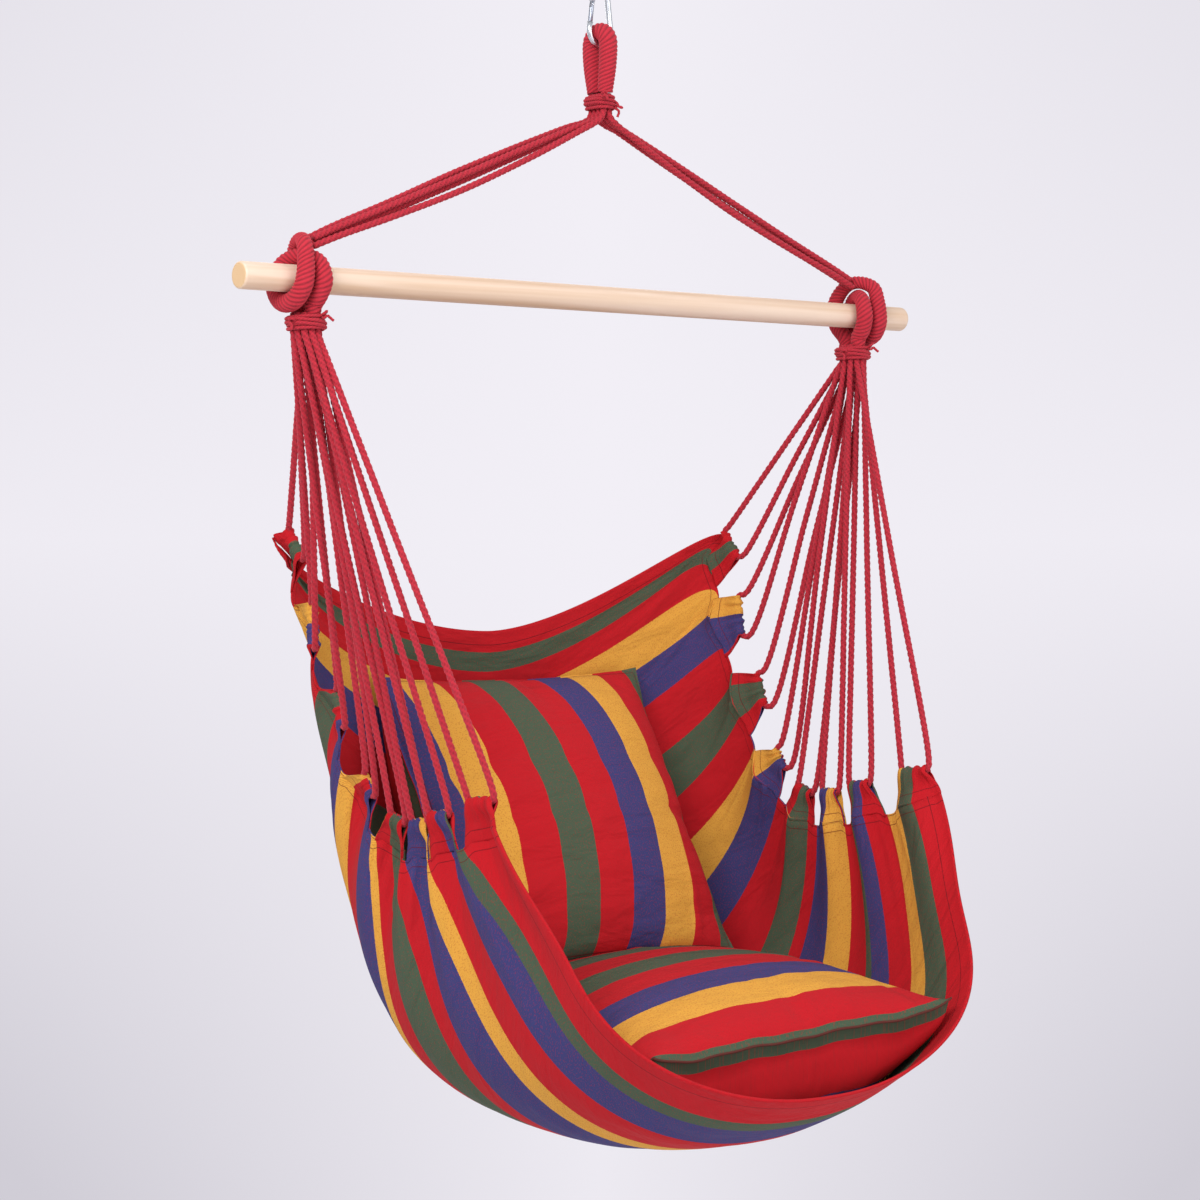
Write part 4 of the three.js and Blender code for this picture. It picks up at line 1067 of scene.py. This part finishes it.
def pine_material():
    look = Look("bar_pine")
    where = look.place()
    stretch = look.add("ShaderNodeMapping", Vector=where, Scale=(1.2, 46, 46)).outputs[0]
    grain = look.noise(stretch, Scale=1.6, Detail=6.0, Distortion=0.6)
    fine = look.noise(stretch, Scale=9.0, Detail=4.0)
    patch = look.noise(where, Scale=7.0, Detail=2.0)
    ramp = look.add("ShaderNodeValToRGB", Fac=grain)
    for element, (at, colour) in zip(ramp.color_ramp.elements, PINE_STOPS):
        element.position = at
        element.color = linear(colour)
    base = look.mix(look.times(fine, 0.25), ramp.outputs["Color"], linear((219, 189, 160)))
    base = look.mix(look.times(patch, 0.22), base, linear((219, 182, 156)))
    x, y, z = look.parts(where)
    end = look.math("GREATER_THAN", look.math("ABSOLUTE", x), BAR_LENGTH_MM * MM / 2 - END_GRAIN_DEPTH)
    off, across = look.plus(z, BAR_DROP_MM * MM + PITH_DROP), look.plus(y, -PITH_BACK)
    radius = look.math("SQRT", look.plus(look.times(off, off), look.times(across, across)))
    ring = look.math("SINE", look.times(radius, 2 * math.pi / YEAR_RING))
    ring = look.times(look.plus(ring, 1.0), 0.5)
    grain_end = look.mix(ring, linear((198, 158, 116)), linear((226, 192, 150)))
    return look.surface({"Base Color": look.mix(end, base, grain_end), "Roughness": 0.6,
                         "Normal": look.bump(fine, 0.15, 0.0004)})


def make_bar():
    half, radius, edge = BAR_LENGTH_MM * MM / 2, BAR_DIAMETER_MM * MM / 2, BAR_EDGE_MM * MM
    end = [(half - edge + edge * math.sin(t), radius - edge + edge * math.cos(t))
           for t in np.linspace(0, math.pi / 2, BAR_EDGE_STEPS)]
    end += [(half, radius * 0.5), (half, 0.0005)]
    inner = [(x, radius) for x in np.linspace(edge - half, half - edge, BAR_STEPS)[1:-1]]
    profile = [(-x, r) for x, r in reversed(end)] + inner + end
    turns = [2 * math.pi * k / BAR_SIDES for k in range(BAR_SIDES)]
    vertices = [(x, r * math.cos(t), r * math.sin(t) - BAR_DROP_MM * MM) for x, r in profile for t in turns]
    made = new_object("pine_bar", vertices, tube_faces(len(profile), BAR_SIDES), "bar")
    made.data.materials.append(pine_material())
    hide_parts("spreader_bar")


make_bar()


def steel_material(name, colour, roughness):
    look = Look(name)
    stretch = look.add("ShaderNodeMapping", Vector=look.place(), Scale=(1, 1, 0.15)).outputs[0]
    span = look.add("ShaderNodeMapRange", Value=look.noise(stretch, Scale=700.0, Detail=3.0),
                    **{"To Min": roughness - 0.06, "To Max": roughness + 0.12})
    return look.surface({"Base Color": linear(colour), "Metallic": 1.0, "Roughness": span.outputs[0]})


GATE_HEEL = 0.0037


def round_heel(work):
    """The gate's end past its pin, drawn in to a radius so that it turns clear of the wire above."""
    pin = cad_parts["snap_hook_gate_pin"]
    corners = [pin.matrix_world @ Vector(corner) for corner in pin.bound_box]
    axis = sum(corners, Vector()) / len(corners)
    for vertex in work.verts:
        gap = Vector((vertex.co.x - axis.x, 0, vertex.co.z - axis.z))
        if gap.z > 0 and gap.length > GATE_HEEL:
            drawn = gap * (GATE_HEEL / gap.length)
            vertex.co.x, vertex.co.z = axis.x + drawn.x, axis.z + drawn.z


def steel_piece(name, near, body, look):
    """The CAD piece's surface again, with its split corners joined so that round steel shades smoothly."""
    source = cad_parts[near]
    work = bmesh.new()
    work.from_mesh(source.data)
    work.transform(source.matrix_world)
    bmesh.ops.remove_doubles(work, verts=work.verts, dist=0.00001)
    if near == "snap_hook_gate":
        round_heel(work)
    mesh = bpy.data.meshes.new(name)
    work.to_mesh(mesh)
    work.free()
    mesh.shade_smooth()
    mesh.set_sharp_from_angle(angle=math.radians(42))
    mesh.materials.clear()
    mesh.materials.append(look)
    made = place_mesh(name, mesh, body)
    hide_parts(near)


BRIGHT = steel_material("zinc_plate", (212, 214, 220), 0.24)
DULL = steel_material("gate_steel", (168, 172, 184), 0.38)
steel_piece("hook_wire", "snap_hook_body", "hook", BRIGHT)
steel_piece("hook_gate", "snap_hook_gate", "gate", DULL)
steel_piece("hook_pin", "snap_hook_gate_pin", "hook", BRIGHT)
steel_piece("hook_spring", "snap_hook_gate_spring", "gate", DULL)


# Floor, backdrop and light
BACKDROP = linear((242, 239, 246))
# The backdrop's painted shade, towards its bottom and sides.
BACKDROP_PAINTED_SHADE = linear((208, 205, 214))
FLOOR_DROP = 2.1
FLOOR_REACH = 9
BACKDROP_SPREAD = 5
BACKDROP_SHARES = {"low": 0.78, "high": 0.3, "side": 0.12, "foot": 0.15}


def camera_or_rest(look, rest, shown):
    """One shader for what the camera sees, and another for the light that falls on the chair."""
    path = look.add("ShaderNodeLightPath").outputs
    seen = look.math("MAXIMUM", path["Is Camera Ray"], path["Is Transmission Ray"])
    mix = look.add("ShaderNodeMixShader")
    for value, socket in zip((seen, rest, shown), mix.inputs):
        look.put(value, socket)
    return mix.outputs[0]


def make_world():
    look = Look("studio", bpy.data.worlds)
    bpy.context.scene.world = look.owner
    look.tree.nodes.clear()
    way = look.place("Generated")
    camera_side = (math.cos(CAMERA_TURN), math.sin(CAMERA_TURN), 0)
    aside = look.math("DOT_PRODUCT", way, camera_side, "ShaderNodeVectorMath", "Value")
    up = look.parts(way)[2]
    side = look.times(look.math("ABSOLUTE", aside), BACKDROP_SPREAD)
    low = look.math("MAXIMUM", look.times(up, -BACKDROP_SPREAD), 0)
    high = look.math("MAXIMUM", look.times(up, BACKDROP_SPREAD), 0)
    share = look.plus(look.times(high, BACKDROP_SHARES["high"]), BACKDROP_SHARES["side"])
    share = look.plus(look.times(low, BACKDROP_SHARES["low"]), share)
    share = look.plus(look.times(share, side), look.times(low, BACKDROP_SHARES["foot"]))
    # The backdrop is painted darker towards the bottom and sides: painted shade.
    colour = look.mix(look.math("MINIMUM", share, 1), BACKDROP, BACKDROP_PAINTED_SHADE)
    seen = look.add("ShaderNodeBackground", Color=colour, Strength=1.0).outputs[0]
    lit = look.add("ShaderNodeBackground", Color=(0.95, 0.97, 1.0, 1), Strength=0.72).outputs[0]
    look.put(camera_or_rest(look, lit, seen), look.add("ShaderNodeOutputWorld").inputs[0])


def make_floor():
    mesh = bpy.data.meshes.new("floor")
    ways = ((-1, -1), (1, -1), (1, 1), (-1, 1))
    mesh.from_pydata([(x * FLOOR_REACH, y * FLOOR_REACH, -FLOOR_DROP) for x, y in ways], [], [(0, 1, 2, 3)])
    floor = put_in_scene("floor", mesh)
    look = Look("floor_paper")
    mesh.materials.append(look.surface({"Base Color": (0.8, 0.8, 0.83, 1), "Roughness": 1.0}))
    paper = look.tree.nodes["Principled BSDF"].outputs[0]
    clear = look.add("ShaderNodeBsdfTransparent").outputs[0]
    look.put(camera_or_rest(look, paper, clear), look.tree.nodes["Material Output"].inputs[0])


LIT_PLACE = (0, -0.05, -0.9)


def area_light(name, place, size, power):
    data = bpy.data.lights.new(name, "AREA")
    data.size = size
    data.energy = power
    lamp = put_in_scene(name, data)
    lamp.location = place
    way = Vector(LIT_PLACE) - Vector(place)
    lamp.rotation_euler = way.to_track_quat("-Z", "Y").to_euler()


make_world()
make_floor()
area_light("key", place=(-2.6, -1.6, 1.0), size=1.6, power=84)
area_light("fill", place=(0.6, -3.4, -0.2), size=2.2, power=34)
area_light("rim", place=(1.6, 2.2, 0.9), size=1.5, power=24)
bpy.context.scene.view_settings.view_transform = "Standard"
